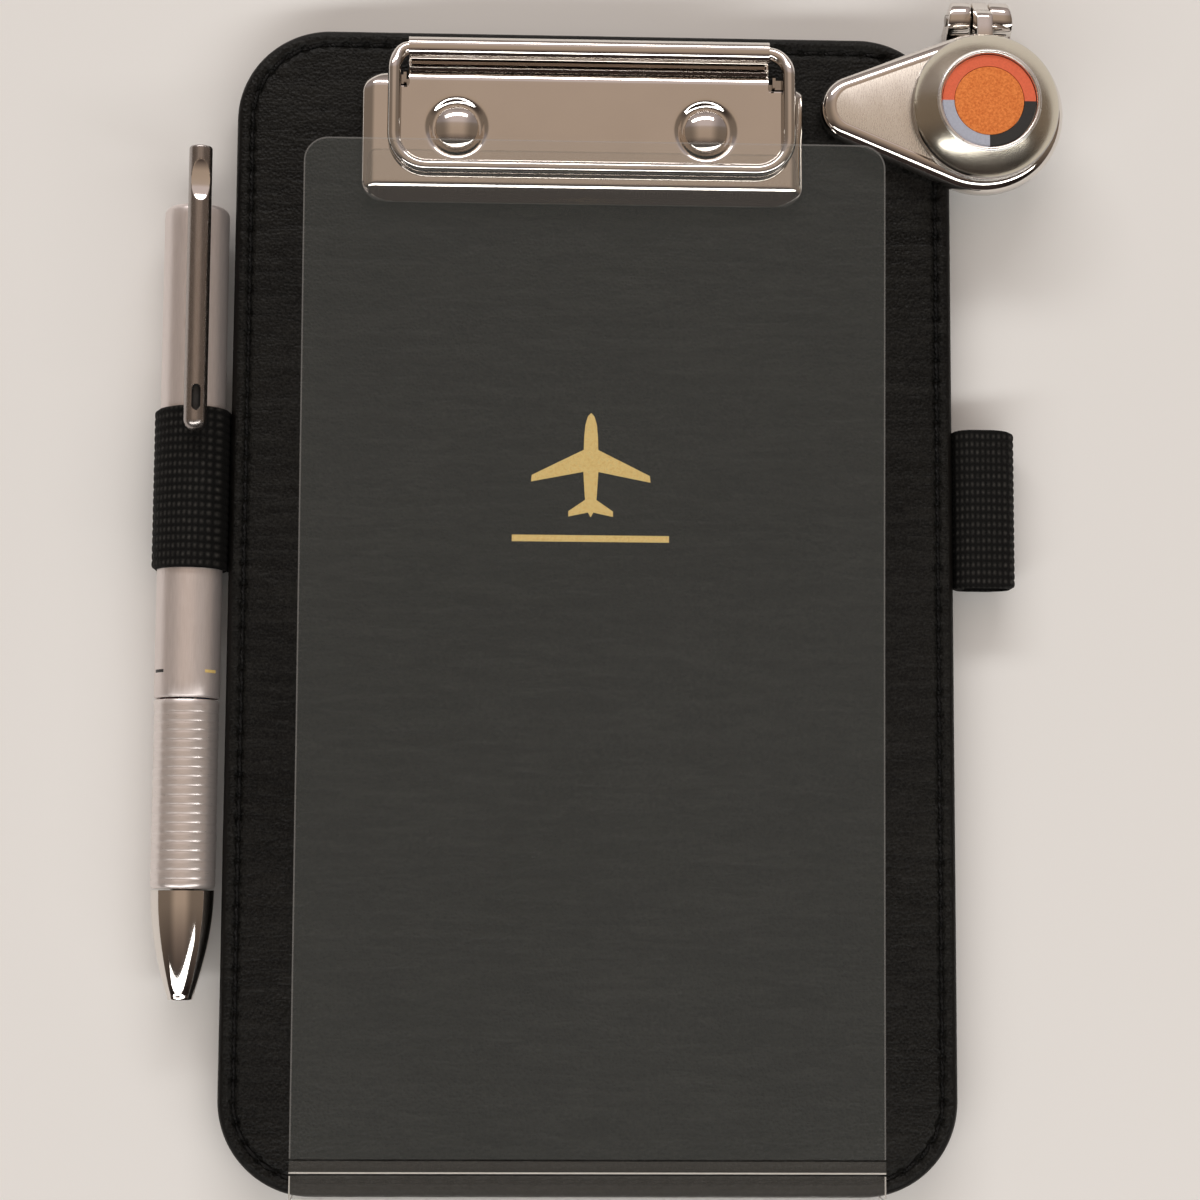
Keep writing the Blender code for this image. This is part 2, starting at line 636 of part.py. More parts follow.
def make_rear_jaw():
    low, high = REAR_JAW_Z
    inset = REAR_JAW_INSET
    plate = [(teardrop(inset + 0.2), low), (teardrop(inset), low + 0.2), (teardrop(inset), high)]
    jaw = add_piece("rear_jaw", stack(plate), "chrome")
    lug = [(LUG_FOOT_Y, high - 0.1), (LUG_FOOT_Y, low + 0.1), (JAW_HINGE_Y - 0.3, low + 0.1)]
    lug += arc((JAW_HINGE_Y, JAW_HINGE_Z), KNUCKLE_R, -40, 170, 14)
    for side in (-1, 1):
        x = sorted((HINGE_X + side * LUG_X[0], HINGE_X + side * LUG_X[1]))
        label = "left" if side < 0 else "right"
        add_boolean(jaw, "UNION", extruded(lug, *x, "X"), f"lug_{label}")
    centre = (HINGE_X, JAW_HINGE_Y, JAW_HINGE_Z)
    add_boolean(jaw, "DIFFERENCE", cylinder(PIN_HOLE_R, -8, 8, centre, "X"), "pin_hole")
    pocket = cylinder(2.45, -LUG_X[0] - 1.8, -1, centre, "X")
    add_boolean(jaw, "DIFFERENCE", pocket, "spring_pocket")
    add_piece("hinge_pin", cylinder(PIN_R, -LUG_X[1], LUG_X[1], centre, "X"), "steel")
    coil = [(1.35, -3.4), (2.15, -3.4), (2.15, -2.0), (1.35, -2.0)]
    add_piece("jaw_spring", turned(coil, centre, "X"), "steel")


def make_marker():
    centre = (COIN_X, COIN_Y, 0)
    rim = COIN_TOP - COIN_Z
    groove = COIN_R - 0.7
    bezel = [(0, 0), (11.9, 0), (COIN_R, 0.3), (COIN_R, 1.1), (groove, 1.3), (groove, 1.7)]
    bezel += [(COIN_R - 0.1, 1.9), (COIN_R - 0.1, 3.4), (8.5, rim - 0.1), (8.2, rim), (WINDOW_R, rim - 0.1)]
    bezel += [(WINDOW_R, rim - 1.2), (0, rim - 1.2)]
    lifted = [(radius, height + COIN_Z) for radius, height in bezel]
    add_piece("marker_bezel", turned(lifted, centre, steps=36), "chrome", "marker")
    floor = COIN_TOP - 0.9
    card = [(SENSOR_R + 0.3, floor), (WINDOW_R - 0.25, floor), (WINDOW_R - 0.25, floor + 0.3)]
    card.append((SENSOR_R + 0.3, floor + 0.3))
    add_piece("indicator_card", turned(card, centre, steps=36), "card", "marker")
    sensor = cylinder(SENSOR_R, floor, floor + 0.5, centre, steps=36)
    add_piece("sensor_disc", sensor, "sensor", "marker")


# Pen -----------------------------------------------------------------------------------------


def make_pen():
    axis = (PEN_X, 0, PEN_Z)
    low, high = BARREL_Y
    inner = PEN_INNER_R
    barrel = [(inner, low), (PEN_R - 0.2, low), (PEN_R, low + 0.3), (PEN_R, high - 1.2)]
    barrel += [(PEN_R - 0.3, high - 0.4), (PEN_R - 1.1, high)]
    barrel += [(2.2, high), (2.2, high - 1.6), (inner, high - 1.6)]
    add_piece("pen_barrel", turned(barrel, axis, "Y", 28), "satin", "pen")
    grip = [(inner, GRIP_Y[0]), (PEN_R - 0.15, GRIP_Y[0]), (PEN_R - 0.1, GRIP_Y[1]), (inner, GRIP_Y[1])]
    add_piece("pen_grip", turned(grip, axis, "Y", 28), "satin", "pen")
    length = TIP_Y[1] - TIP_Y[0]
    outer_line = [(2.0, 0.0), (2.2, 0.4), (3.1, 0.30 * length), (4.2, 0.58 * length), (5.0, 0.85 * length)]
    outer_line.append((PEN_R - 0.15, length))
    inner_line = [(4.3, length), (4.0, 0.85 * length), (3.2, 0.58 * length), (2.0, 0.30 * length), (1.3, 0.0)]
    tip = [(radius, TIP_Y[0] + place) for radius, place in outer_line + inner_line]
    add_piece("pen_tip", turned(tip, axis, "Y", 28), "chrome", "pen")


def parked_places():
    return [(PARKED_RADIUS * cos(a), PARKED_RADIUS * sin(a)) for a in (radians(-30), radians(210))]


def make_pen_inside():
    axis = Vector((PEN_X, 0, PEN_Z))
    guide = add_piece("refill_guide", cylinder(4.1, 10, 14, axis, "Y", 28), "ink_black", "pen")
    holes = [cylinder(REFILL_R + GAP, 8, 16, axis, "Y", 16)]
    for px, pz in parked_places():
        holes.append(cylinder(REFILL_R + GAP - 0.05, 8, 16, axis + Vector((px, 0, pz)), "Y", 16))
    for number, hole in enumerate(holes):
        add_boolean(guide, "DIFFERENCE", hole, f"hole_{number}", "pen")
    for colour, (px, pz) in zip(("blue", "red"), parked_places()):
        tube = cylinder(PARKED_R, -38, 21, axis + Vector((px, 0, pz)), "Y", 12)
        add_piece(f"refill_{colour}", tube, f"ink_{colour}", "pen")
    spring = [(SPRING_R[0], -54), (SPRING_R[1], -54), (SPRING_R[1], -40), (SPRING_R[0], -40)]
    add_piece("refill_spring", turned(spring, axis, "Y", 16), "steel", "pen")
    point = [(0, -63.4), (0.35, -63.2), (0.5, -61.0), (REFILL_R, -56.5), (REFILL_R, 21.7), (0, 21.7)]
    add_piece("refill_black", turned(point, axis, "Y", 16), "ink_black", "refill")


def make_pen_clip():
    """Rod with a round foot, bent over the barrel's end into the stem that pushes the refill."""
    low, high = CLIP_ROD_Y
    height = CLIP_ROD_UP
    rod_axis = (PEN_X, 0, PEN_Z + height)
    r = CLIP_ROD_R
    rod = turned([(0, low), (r * 0.6, low + 0.35), (r, low + 1.6), (r, high), (0, high)], rod_axis, "Y", 20)
    roll = Matrix.Rotation(radians(CLIP_ROLL), 4, "Y")
    axis = Matrix.Translation((PEN_X, 0, PEN_Z))
    about = axis @ roll @ axis.inverted()
    bmesh.ops.transform(rod, matrix=about, verts=rod.verts)
    clip = add_piece("pen_clip", rod, "satin", "clicker")
    web = box((PEN_X - 1.6, PEN_X + 1.6), (high - 2.7, high - 0.05), (PEN_Z, PEN_Z + height))
    bmesh.ops.transform(web, matrix=about, verts=web.verts)
    add_boolean(clip, "UNION", web, "web", "clicker")
    stem = cylinder(STEM_R, 22.0, high - 0.1, (PEN_X, 0, PEN_Z), "Y", 20)
    add_boolean(clip, "UNION", stem, "stem", "clicker")


def main():
    clear_scene()
    make_board()
    make_loops()
    make_clip_base()
    make_rivets()
    make_clip_spring()
    make_clip_plate()
    make_bail()
    make_cover()
    make_front_jaw()
    make_rear_jaw()
    make_marker()
    make_pen()
    make_pen_inside()
    make_pen_clip()


main()
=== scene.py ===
"""Looks of the pilot kneeboard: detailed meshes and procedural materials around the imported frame.

Shapes are built in millimetres from the board's centre in plan, with Z from the resting surface, and
turned into the frame's metres by add_piece(). Reference sizes are read from the CAD nodes' boxes.
"""

import bmesh
import bpy
from math import acos, atan2, cos, exp, floor, hypot, pi, radians, sin, sqrt
from mathutils import Matrix, Vector


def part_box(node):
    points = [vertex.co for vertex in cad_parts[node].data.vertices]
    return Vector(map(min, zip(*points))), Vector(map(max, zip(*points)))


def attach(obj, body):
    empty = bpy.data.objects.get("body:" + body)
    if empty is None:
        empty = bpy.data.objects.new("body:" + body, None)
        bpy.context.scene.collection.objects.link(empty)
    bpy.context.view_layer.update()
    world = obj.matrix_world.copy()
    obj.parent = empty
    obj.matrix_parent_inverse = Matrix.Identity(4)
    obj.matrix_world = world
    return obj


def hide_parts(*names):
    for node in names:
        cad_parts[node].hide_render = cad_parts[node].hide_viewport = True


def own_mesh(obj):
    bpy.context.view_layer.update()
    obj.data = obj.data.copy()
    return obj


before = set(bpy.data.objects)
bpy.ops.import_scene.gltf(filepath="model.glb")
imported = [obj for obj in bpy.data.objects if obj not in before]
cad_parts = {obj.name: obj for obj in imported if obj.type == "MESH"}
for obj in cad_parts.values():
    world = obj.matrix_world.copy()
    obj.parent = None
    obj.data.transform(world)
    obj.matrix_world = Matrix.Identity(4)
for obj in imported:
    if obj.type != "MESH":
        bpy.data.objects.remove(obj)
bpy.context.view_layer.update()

MM = 0.001
LOW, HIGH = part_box("front_leather")
ORIGIN = Vector(((LOW.x + HIGH.x) / 2, (LOW.y + HIGH.y) / 2, 0.0))
TOP_Z = HIGH.z / MM
BACK_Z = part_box("rear_leather")[0].z / MM
HALF_W = (HIGH.x - LOW.x) / 2 / MM
HALF_H = (HIGH.y - LOW.y) / 2 / MM


def node_box(name):
    """Lowest and highest corner of a CAD node, in the script's millimetres."""
    low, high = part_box(name)
    return (low - ORIGIN) / MM, (high - ORIGIN) / MM


# Board and stitching.
CORNER_R = 15.5
SEAM_Z = 2.55
SEAM_GAP = 0.3
EDGE_R = 1.5
STITCH_INSET = 2.6
STITCH_PITCH = 3.5
STITCH_LENGTH = 2.6
THREAD_R = 0.3
GROOVE_DEPTH = 0.38
GROOVE_WIDTH = 0.62
HOLE_DEPTH = 0.65

# Elastic.
RIB_PITCH = 1.35
WEAVE_PITCH = 0.9
ELASTIC_TAIL_X = 56.5
ELASTIC_TAIL_Z = (3.7, 4.95)
TAIL_LAP = 0.3
RIGHT_LOOP_X = 60.2

# Paper clip.
RIVET_X = (-23.2, 18.4)
RIVET_Y = 79.0
PLATE_X = (-39.0, 34.7)
PLATE_TOP = 11.5
PLATE_T = 0.5
LIP_Y = 66.7
RIDGE_W = 3.1
LIP_DROP = 2.6
SIDE_W = 2.4
SIDE_DROP = 1.25
TOP_W = 2.7
TOP_DROP = 1.35
TONGUE_X = (-31.25, 28.9)
NOTCH_X = (-34.6, 32.8)
NOTCH_Y = 85.9
WING_TOP_Y = (88.6, 87.0)
ROLL_Y = 92.2
ROLL_Z = 12.0
ROLL_INNER = 1.38
DISH_R = (3.9, 5.4)
DISH_DEPTH = 0.8
HEAD_R = 3.65
HEAD_Z = (11.2, 12.5)
BAIL_R = 1.1
BAIL_X = (-33.6, 32.2)
BAIL_BAR = (71.9, 12.95)
BAIL_CORNER = 5.5
BAIL_SHOULDER = 4.0

# Clear cover.
FILM_T = 0.3
FILM_SLOPE = 2.17
FILM_Y = (-90.3, 76.0)
FILM_CORNER = 4.0
HEM_Y = (-92.6, -90.6)
TAB_Y = -92.9
COVER_Z = TOP_Z + 0.3

# Indicator.
COIN = (65.0, 83.2)
TOE = (43.6, 83.6)
JAW_HEAD_R = 13.8
JAW_TOE_R = 5.9
JAW_Z = (8.3, 11.9)
COIN_Z = 12.2
COIN_TOP = 18.0
COIN_R = 12.4
WINDOW_R = 7.9
SENSOR_R = 5.8
HINGE = (65.5, 101.0, 4.75)
REAR_JAW_INSET = 3.0

# Pen.
PEN_X = -66.4
PEN_Z = 6.25
PEN_R = 5.35
BARREL_Y = (-16.4, 65.6)
GRIP_Y = (-47.3, -16.7)
TIP_Y = (-65.2, -47.6)
GRIP_RINGS = 19
GRIP_PITCH = 1.5
ROD_R = 1.9
STEM_R = 1.45
ROD_Y = (26.6, 73.9)
ROD_UP = 8.5
ROD_ROLL = 9.0


# Mesh helpers --------------------------------------------------------------------------------


def smoothstep(value, low, high):
    part = max(0.0, min(1.0, (value - low) / (high - low)))
    return part * part * (3 - 2 * part)


def add_piece(name, shape, materials, body, replaced=(), sharp=40):
    """Makes an object from a bmesh in board millimetres and gives it its body, slot and CAD nodes."""
    bmesh.ops.scale(shape, vec=(MM, MM, MM), verts=shape.verts)
    bmesh.ops.translate(shape, vec=ORIGIN, verts=shape.verts)
    mesh = bpy.data.meshes.new(name)
    shape.to_mesh(mesh)
    shape.free()
    mesh.shade_smooth()
    mesh.set_sharp_from_angle(angle=radians(sharp))
    for material in materials:
        mesh.materials.append(material)
    item = bpy.data.objects.new(name, mesh)
    bpy.context.scene.collection.objects.link(item)
    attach(item, body)
    if replaced:
        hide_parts(*replaced)
    return item


def strip_faces(shape, first, second, around=True, slot=0):
    """Quads between two rows of vertices."""
    count = len(first)
    faces = []
    for index in range(count if around else count - 1):
        after = (index + 1) % count
        face = shape.faces.new((first[index], first[after], second[after], second[index]))
        face.material_index = slot
        faces.append(face)
    return faces


def skin(shape, rings, closed=False, caps=True, slots=None):
    """Surface through rings of points, capped at the ends or joined end to end."""
    rows = [[shape.verts.new(point) for point in ring] for ring in rings]
    pairs = list(zip(rows, rows[1:]))
    if closed:
        pairs.append((rows[-1], rows[0]))
    for index, (first, second) in enumerate(pairs):
        strip_faces(shape, first, second, slot=slots[index] if slots else 0)
    if caps and not closed:
        shape.faces.new(list(reversed(rows[0]))).material_index = slots[0] if slots else 0
        shape.faces.new(rows[-1]).material_index = slots[-1] if slots else 0
    return rows


def turned(profile, centre, axis="Z", steps=96, slots=None):
    """Turns (radius, height) points about an axis through the centre. A radius of 0 closes the end."""
    shape = bmesh.new()
    rows = []
    for radius, height in profile:
        if radius == 0:
            rows.append([shape.verts.new((0, 0, height))])
            continue
        row = []
        for step in range(steps):
            angle = 2 * pi * step / steps
            row.append(shape.verts.new((radius * cos(angle), radius * sin(angle), height)))
        rows.append(row)
    pairs = list(zip(rows, rows[1:]))
    if len(rows[0]) > 1 and len(rows[-1]) > 1:
        pairs.append((rows[-1], rows[0]))
    for index, (lower, upper) in enumerate(pairs):
        slot = slots[index] if slots and index < len(slots) else 0
        for step in range(steps):
            after = (step + 1) % steps
            if len(lower) == 1:
                face = shape.faces.new((lower[0], upper[after], upper[step]))
            elif len(upper) == 1:
                face = shape.faces.new((lower[step], lower[after], upper[0]))
            else:
                face = shape.faces.new((lower[step], lower[after], upper[after], upper[step]))
            face.material_index = slot
    turns = {"Z": Matrix(), "Y": Matrix.Rotation(-pi / 2, 4, "X"), "X": Matrix.Rotation(pi / 2, 4, "Y")}
    bmesh.ops.transform(shape, matrix=Matrix.Translation(centre) @ turns[axis], verts=shape.verts)
    bmesh.ops.recalc_face_normals(shape, faces=shape.faces)
    return shape


def rounded(corners, radius, steps=5):
    """Rounds the inner corners of an open or closed profile with short arcs."""
    points = []
    for index, corner in enumerate(corners):
        if index in (0, len(corners) - 1):
            points.append(corner)
            continue
        here = Vector(corner)
        before = Vector(corners[index - 1]) - here
        after = Vector(corners[index + 1]) - here
        reach = min(radius, before.length * 0.48, after.length * 0.48)
        start = here + before.normalized() * reach
        end = here + after.normalized() * reach
        for step in range(steps + 1):
            part = step / steps
            point = start * (1 - part) ** 2 + here * 2 * part * (1 - part) + end * part**2
            points.append((max(point.x, 0.0), point.y))
    return points


def tube(shape, route, radius, sides=20, closed=False, slot=0):
    """Round tube along a route of points. The radius is one number or one for each point."""
    count = len(route)
    rings = []
    for index, point in enumerate(route):
        before = route[index - 1] if closed or index else route[0]
        after = route[(index + 1) % count] if closed or index < count - 1 else route[-1]
        along = (after - before).normalized()
        side = along.cross(Vector((0, 0, 1))).normalized()
        lift = side.cross(along)
        size = radius if isinstance(radius, float) else radius[index]
        angles = [2 * pi * step / sides for step in range(sides)]
        rings.append([point + size * (cos(a) * side + sin(a) * lift) for a in angles])
    skin(shape, rings, closed=closed, slots=[slot] * count)


def sheet_line(line, thickness):
    """Closed outline of a bent sheet whose upper side follows the line."""
    upper, lower = [], []
    for index, point in enumerate(line):
        before = Vector(line[max(index - 1, 0)])
        after = Vector(line[min(index + 1, len(line) - 1)])
        along = (after - before).normalized()
        across = Vector((along.y, -along.x))
        upper.append(Vector(point))
        lower.append(Vector(point) + across * thickness)
    return upper + lower[::-1]


# Material helpers ----------------------------------------------------------------------------


class Look:
    """A Principled material under construction, with object coordinates in metres."""

    def __init__(self, name, colour, roughness, metallic=0.0, **sockets):
        self.material = bpy.data.materials.new(name)
        self.material.use_nodes = True
        self.tree = self.material.node_tree
        self.shader = self.tree.nodes["Principled BSDF"]
        self.shader.inputs["Base Color"].default_value = (*colour, 1.0)
        self.shader.inputs["Roughness"].default_value = roughness
        self.shader.inputs["Metallic"].default_value = metallic
        for socket, value in sockets.items():
            self.shader.inputs[socket.replace("_", " ")].default_value = value
        self.place = self.node("ShaderNodeTexCoord").outputs["Object"]
        self.height = None

    def node(self, kind, **settings):
        made = self.tree.nodes.new(kind)
        for key, value in settings.items():
            setattr(made, key, value)
        return made

    def link(self, source, target):
        self.tree.links.new(source, target)

    def feed(self, socket, value):
        if isinstance(value, (int, float, tuple)):
            socket.default_value = value
        else:
            self.link(value, socket)

    def stretched(self, scale, turn=(0.0, 0.0, 0.0)):
        """Coordinates multiplied by scale, for textures that are longer one way."""
        mapping = self.node("ShaderNodeMapping")
        mapping.inputs["Scale"].default_value = scale
        mapping.inputs["Rotation"].default_value = turn
        self.link(self.place, mapping.inputs["Vector"])
        return mapping.outputs["Vector"]

    def noise(self, size, detail=3.0, rough=0.5, place=None, distort=0.0):
        """Noise whose blobs are about size millimetres across, or of size 1 in given coordinates."""
        made = self.node("ShaderNodeTexNoise")
        made.inputs["Scale"].default_value = 1.0 if place else 1 / (size * MM)
        made.inputs["Detail"].default_value = detail
        made.inputs["Roughness"].default_value = rough
        made.inputs["Distortion"].default_value = distort
        self.link(place or self.place, made.inputs["Vector"])
        return made.outputs["Fac"]

    def cells(self, size, feature="F1", place=None):
        made = self.node("ShaderNodeTexVoronoi", feature=feature)
        made.inputs["Scale"].default_value = 1.0 if place else 1 / (size * MM)
        self.link(place or self.place, made.inputs["Vector"])
        return made.outputs["Distance"]

    def maths(self, operation, first, second=0.0, clamp=False):
        made = self.node("ShaderNodeMath", operation=operation, use_clamp=clamp)
        self.feed(made.inputs[0], first)
        self.feed(made.inputs[1], second)
        return made.outputs[0]

    def stripes(self, place, pitch):
        """Soft stripes across one coordinate, that many millimetres apart."""
        wave = self.maths("SINE", self.maths("MULTIPLY", place, pi / (pitch * MM)))
        return self.maths("POWER", self.maths("ABSOLUTE", wave), 2.5)

    def remap(self, value, low, high, to_low, to_high):
        made = self.node("ShaderNodeMapRange")
        self.feed(made.inputs["Value"], value)
        sockets = ("From Min", "From Max", "To Min", "To Max")
        for socket, number in zip(sockets, (low, high, to_low, to_high)):
            made.inputs[socket].default_value = number
        return made.outputs["Result"]

    def mix(self, part, first, second):
        made = self.node("ShaderNodeMix", data_type="RGBA")
        self.feed(made.inputs["Factor"], part)
        self.feed(made.inputs["A"], (*first, 1.0) if isinstance(first, tuple) else first)
        self.feed(made.inputs["B"], (*second, 1.0) if isinstance(second, tuple) else second)
        return made.outputs["Result"]

    def set(self, socket, value):
        self.feed(self.shader.inputs[socket], value)

    def bump(self, height, depth, strength=1.0):
        """Adds a bump of that many millimetres, on top of those before it."""
        made = self.node("ShaderNodeBump")
        made.inputs["Distance"].default_value = depth * MM
        made.inputs["Strength"].default_value = strength
        self.link(height, made.inputs["Height"])
        if self.height:
            self.link(self.height, made.inputs["Normal"])
        self.height = made.outputs["Normal"]
        self.link(self.height, self.shader.inputs["Normal"])


# Materials -----------------------------------------------------------------------------------


def leather_look(name="black_leather"):
    look = Look(name, (0.0026, 0.0023, 0.0020), 0.5, 0.0, Specular_IOR_Level=0.14)
    wrinkles = look.noise(1, 6.0, 0.62, look.stretched((90, 620, 300), (0, 0, 0.06)), 0.6)
    patches = look.noise(26, 3.0, 0.5)
    grain = look.cells(0.55)
    pores = look.noise(0.28, 2.0, 0.6)
    # Base colour lighter on raised wrinkles, grain ridges and pores and darker in the creases: painted
    # highlight and shade for a low light across the relief. The broad patches below are random tone.
    painted_crease_shade = look.remap(wrinkles, 0.42, 0.68, 0.0, 0.4)
    painted_relief_shading = look.maths("ADD", painted_crease_shade, look.remap(grain, 0.15, 0.75, 0.0, 0.3))
    speckle = look.maths("ADD", painted_relief_shading, look.remap(pores, 0.42, 0.66, -0.1, 0.45))
    broad = look.remap(look.noise(40, 3.0, 0.5), 0.3, 0.7, -0.12, 0.12)
    tone = look.maths("ADD", speckle, broad, clamp=True)
    look.set("Base Color", look.mix(tone, (0.0005, 0.0005, 0.0004), (0.0175, 0.0172, 0.0156)))
    rough = look.maths("ADD", look.remap(patches, 0.3, 0.7, 0.34, 0.5), look.remap(grain, 0, 1, 0.06, -0.04))
    look.set("Roughness", rough)
    look.bump(wrinkles, 0.26, 0.9)
    look.bump(grain, 0.13, 0.9)
    look.bump(pores, 0.035, 0.8)
    return look.material


def edge_look():
    look = Look("leather_edge", (0.003, 0.0026, 0.0022), 0.46, 0.0, Specular_IOR_Level=0.2)
    look.bump(look.noise(1.1, 4.0, 0.6), 0.08, 0.7)
    look.bump(look.cells(0.5), 0.06, 0.7)
    look.set("Roughness", look.remap(look.noise(2.4), 0.3, 0.7, 0.36, 0.56))
    return look.material


def thread_look():
    look = Look("waxed_thread", (0.003, 0.003, 0.003), 0.55, 0.0, Specular_IOR_Level=0.2)
    twist = look.node("ShaderNodeTexWave", wave_type="BANDS", bands_direction="DIAGONAL")
    twist.inputs["Scale"].default_value = 0.32 / (0.45 * MM)
    look.link(look.place, twist.inputs["Vector"])
    look.bump(twist.outputs["Fac"], 0.12, 0.9)
    look.set("Roughness", look.remap(look.noise(0.6), 0.3, 0.7, 0.45, 0.7))
    return look.material


def elastic_look():
    look = Look("black_elastic", (0.003, 0.0028, 0.0026), 0.82, 0.0, Specular_IOR_Level=0.2)
    fibres = look.noise(1, 3.0, 0.6, look.stretched((5200, 1500, 5200)))
    fuzz = look.noise(0.22, 3.0, 0.7)
    parts = look.node("ShaderNodeSeparateXYZ")
    look.link(look.place, parts.inputs[0])
    around = look.maths("ADD", parts.outputs["X"], look.maths("MULTIPLY", parts.outputs["Z"], 0.3))
    # Base colour lighter on the rib and weave crests and near black between them: painted sheen on the crests
    # and painted shade in the grooves, broken up by noise.
    ribs = look.stripes(parts.outputs["Y"], RIB_PITCH)
    weave = look.maths("MULTIPLY", ribs, look.stripes(around, WEAVE_PITCH))
    tone = look.maths("MULTIPLY", weave, look.remap(look.noise(0.9, 4.0, 0.7), 0.35, 0.65, 0.2, 1.0))
    look.set("Base Color", look.mix(tone, (0.0012, 0.0012, 0.0011), (0.048, 0.046, 0.042)))
    look.set("Roughness", look.remap(fuzz, 0.3, 0.7, 0.7, 0.95))
    look.bump(fibres, 0.10, 0.8)
    look.bump(fuzz, 0.05, 0.7)
    return look.material


def polished_look(name, colour, roughness=0.045, scratch=0.02):
    """Bright plated metal with faint wipe marks and tiny pits."""
    look = Look(name, colour, roughness, 1.0)
    haze = look.remap(look.noise(7, 4.0, 0.6), 0.35, 0.7, roughness, roughness * 1.9)
    marks = look.noise(1, 2.0, 0.5, look.stretched((140, 2600, 2600), (0, 0, 0.4)))
    rough = look.maths("ADD", haze, look.remap(marks, 0.55, 0.75, 0.0, scratch))
    look.set("Roughness", rough)
    tone = look.remap(look.noise(11), 0.3, 0.7, 0.0, 1.0)
    look.set("Base Color", look.mix(tone, colour, tuple(c * 0.955 for c in colour)))
    look.bump(look.noise(5.0, 2.0, 0.4), 0.010, 0.5)
    return look.material


def satin_look(name, colour, roughness, stretch, depth=0.006, metallic=1.0):
    """Brushed metal, with the brush lines along the axis that stretch leaves long."""
    look = Look(name, colour, roughness, metallic)
    lines = look.noise(1, 4.0, 0.65, look.stretched(stretch))
    look.set("Roughness", look.remap(lines, 0.25, 0.75, roughness * 0.8, roughness * 1.25))
    dark = tuple(part * 0.9 for part in colour)
    look.set("Base Color", look.mix(look.remap(lines, 0.3, 0.7, 0.0, 1.0), dark, colour))
    look.bump(lines, depth, 0.7)
    return look.material


def steel_look():
    look = Look("plain_steel", (0.36, 0.34, 0.32), 0.32, 1.0)
    look.set("Roughness", look.remap(look.noise(0.9, 4.0), 0.3, 0.7, 0.24, 0.42))
    look.bump(look.noise(0.35), 0.01, 0.5)
    return look.material


def film_look(name, alpha, colour, roughness):
    look = Look(name, colour, roughness, 0.0, IOR=1.5, Specular_IOR_Level=0.85, Alpha=alpha)
    look.set("Roughness", look.remap(look.noise(14, 3.0), 0.3, 0.7, roughness * 0.8, roughness * 1.3))
    look.bump(look.noise(30, 2.0, 0.4), 0.12, 0.35)
    return look.material


def gold_look():
    look = Look("gold_foil", (0.92, 0.70, 0.26), 0.28, 0.2)
    mottle = look.noise(0.5, 5.0, 0.75)
    tone = look.remap(mottle, 0.35, 0.65, 0.0, 1.0)
    look.set("Base Color", look.mix(tone, (0.80, 0.55, 0.17), (1.0, 0.80, 0.33)))
    look.set("Roughness", look.remap(mottle, 0.3, 0.7, 0.45, 0.2))
    look.bump(look.noise(0.3, 4.0, 0.7), 0.05, 0.7)
    return look.material


def paint_look(name, dark, light, grain, roughness=0.7, depth=0.02):
    """Print or plastic: two close tones mixed by fine noise, with a fine surface."""
    look = Look(name, light, roughness)
    speckle = look.noise(grain, 4.0, 0.7)
    look.set("Base Color", look.mix(look.remap(speckle, 0.35, 0.65, 0.0, 1.0), dark, light))
    look.set("Roughness", look.remap(speckle, 0.3, 0.7, roughness * 0.9, min(1.0, roughness * 1.15)))
    look.bump(speckle, depth, 0.6)
    return look.material


LEATHER = leather_look()
LEATHER_EDGE = edge_look()
THREAD = thread_look()
ELASTIC = elastic_look()
CHROME = polished_look("warm_chrome", (0.80, 0.76, 0.72))
CHROME_DARK = polished_look("dark_chrome", (0.50, 0.47, 0.44), 0.06)
RIM_CHROME = polished_look("rim_chrome", (0.92, 0.90, 0.87), 0.22)
BEZEL_SATIN = satin_look("bezel_satin", (0.74, 0.69, 0.58), 0.2, (1300, 9000, 1300), 0.004)
JAW_SATIN = satin_look("jaw_satin", (0.86, 0.80, 0.72), 0.28, (9000, 1300, 1300), 0.004, 0.7)
PEN_SATIN = satin_look("pen_satin", (0.86, 0.79, 0.77), 0.38, (9000, 420, 9000), 0.005, 0.75)
PEN_GRIP = satin_look("pen_grip_satin", (0.86, 0.80, 0.78), 0.32, (700, 9000, 700), 0.005, 0.75)
ROD_SATIN = satin_look("rod_satin", (0.42, 0.385, 0.37), 0.26, (9000, 420, 9000), 0.006)
STEEL = steel_look()
# The film's and the hem's grey base colour at low alpha is a painted veil that stands in for the film's
# reflection of the room.
FILM = film_look("clear_film", 0.058, (0.33, 0.36, 0.345), 0.12)
FILM_HEM = film_look("clear_film_hem", 0.07, (0.36, 0.355, 0.33), 0.1)
# Lighter, denser film on the edge band: a painted highlight along the film's edges.
FILM_EDGE_HIGHLIGHT = film_look("clear_film_edge_highlight", 0.2, (0.42, 0.42, 0.41), 0.2)
# Near-opaque pale film on the crease bead and on the tab's side strands: a painted highlight for the bright
# crease and corners.
FILM_CREASE_HIGHLIGHT = film_look("clear_film_crease_highlight", 0.7, (0.80, 0.78, 0.73), 0.12)
GOLD = gold_look()
ORANGE_CARD = paint_look("card_orange", (0.74, 0.13, 0.055), (0.84, 0.165, 0.075), 0.35)
GREY_CARD = paint_look("card_grey", (0.40, 0.43, 0.52), (0.47, 0.50, 0.60), 0.35)
BLACK_CARD = paint_look("card_black", (0.017, 0.017, 0.017), (0.030, 0.029, 0.028), 0.35)
SENSOR = paint_look("sensor_pad", (0.66, 0.15, 0.025), (0.92, 0.30, 0.075), 0.42, 0.95, 0.09)
BOARD = paint_look("fibre_board", (0.20, 0.15, 0.10), (0.30, 0.24, 0.17), 0.8, 0.9, 0.05)
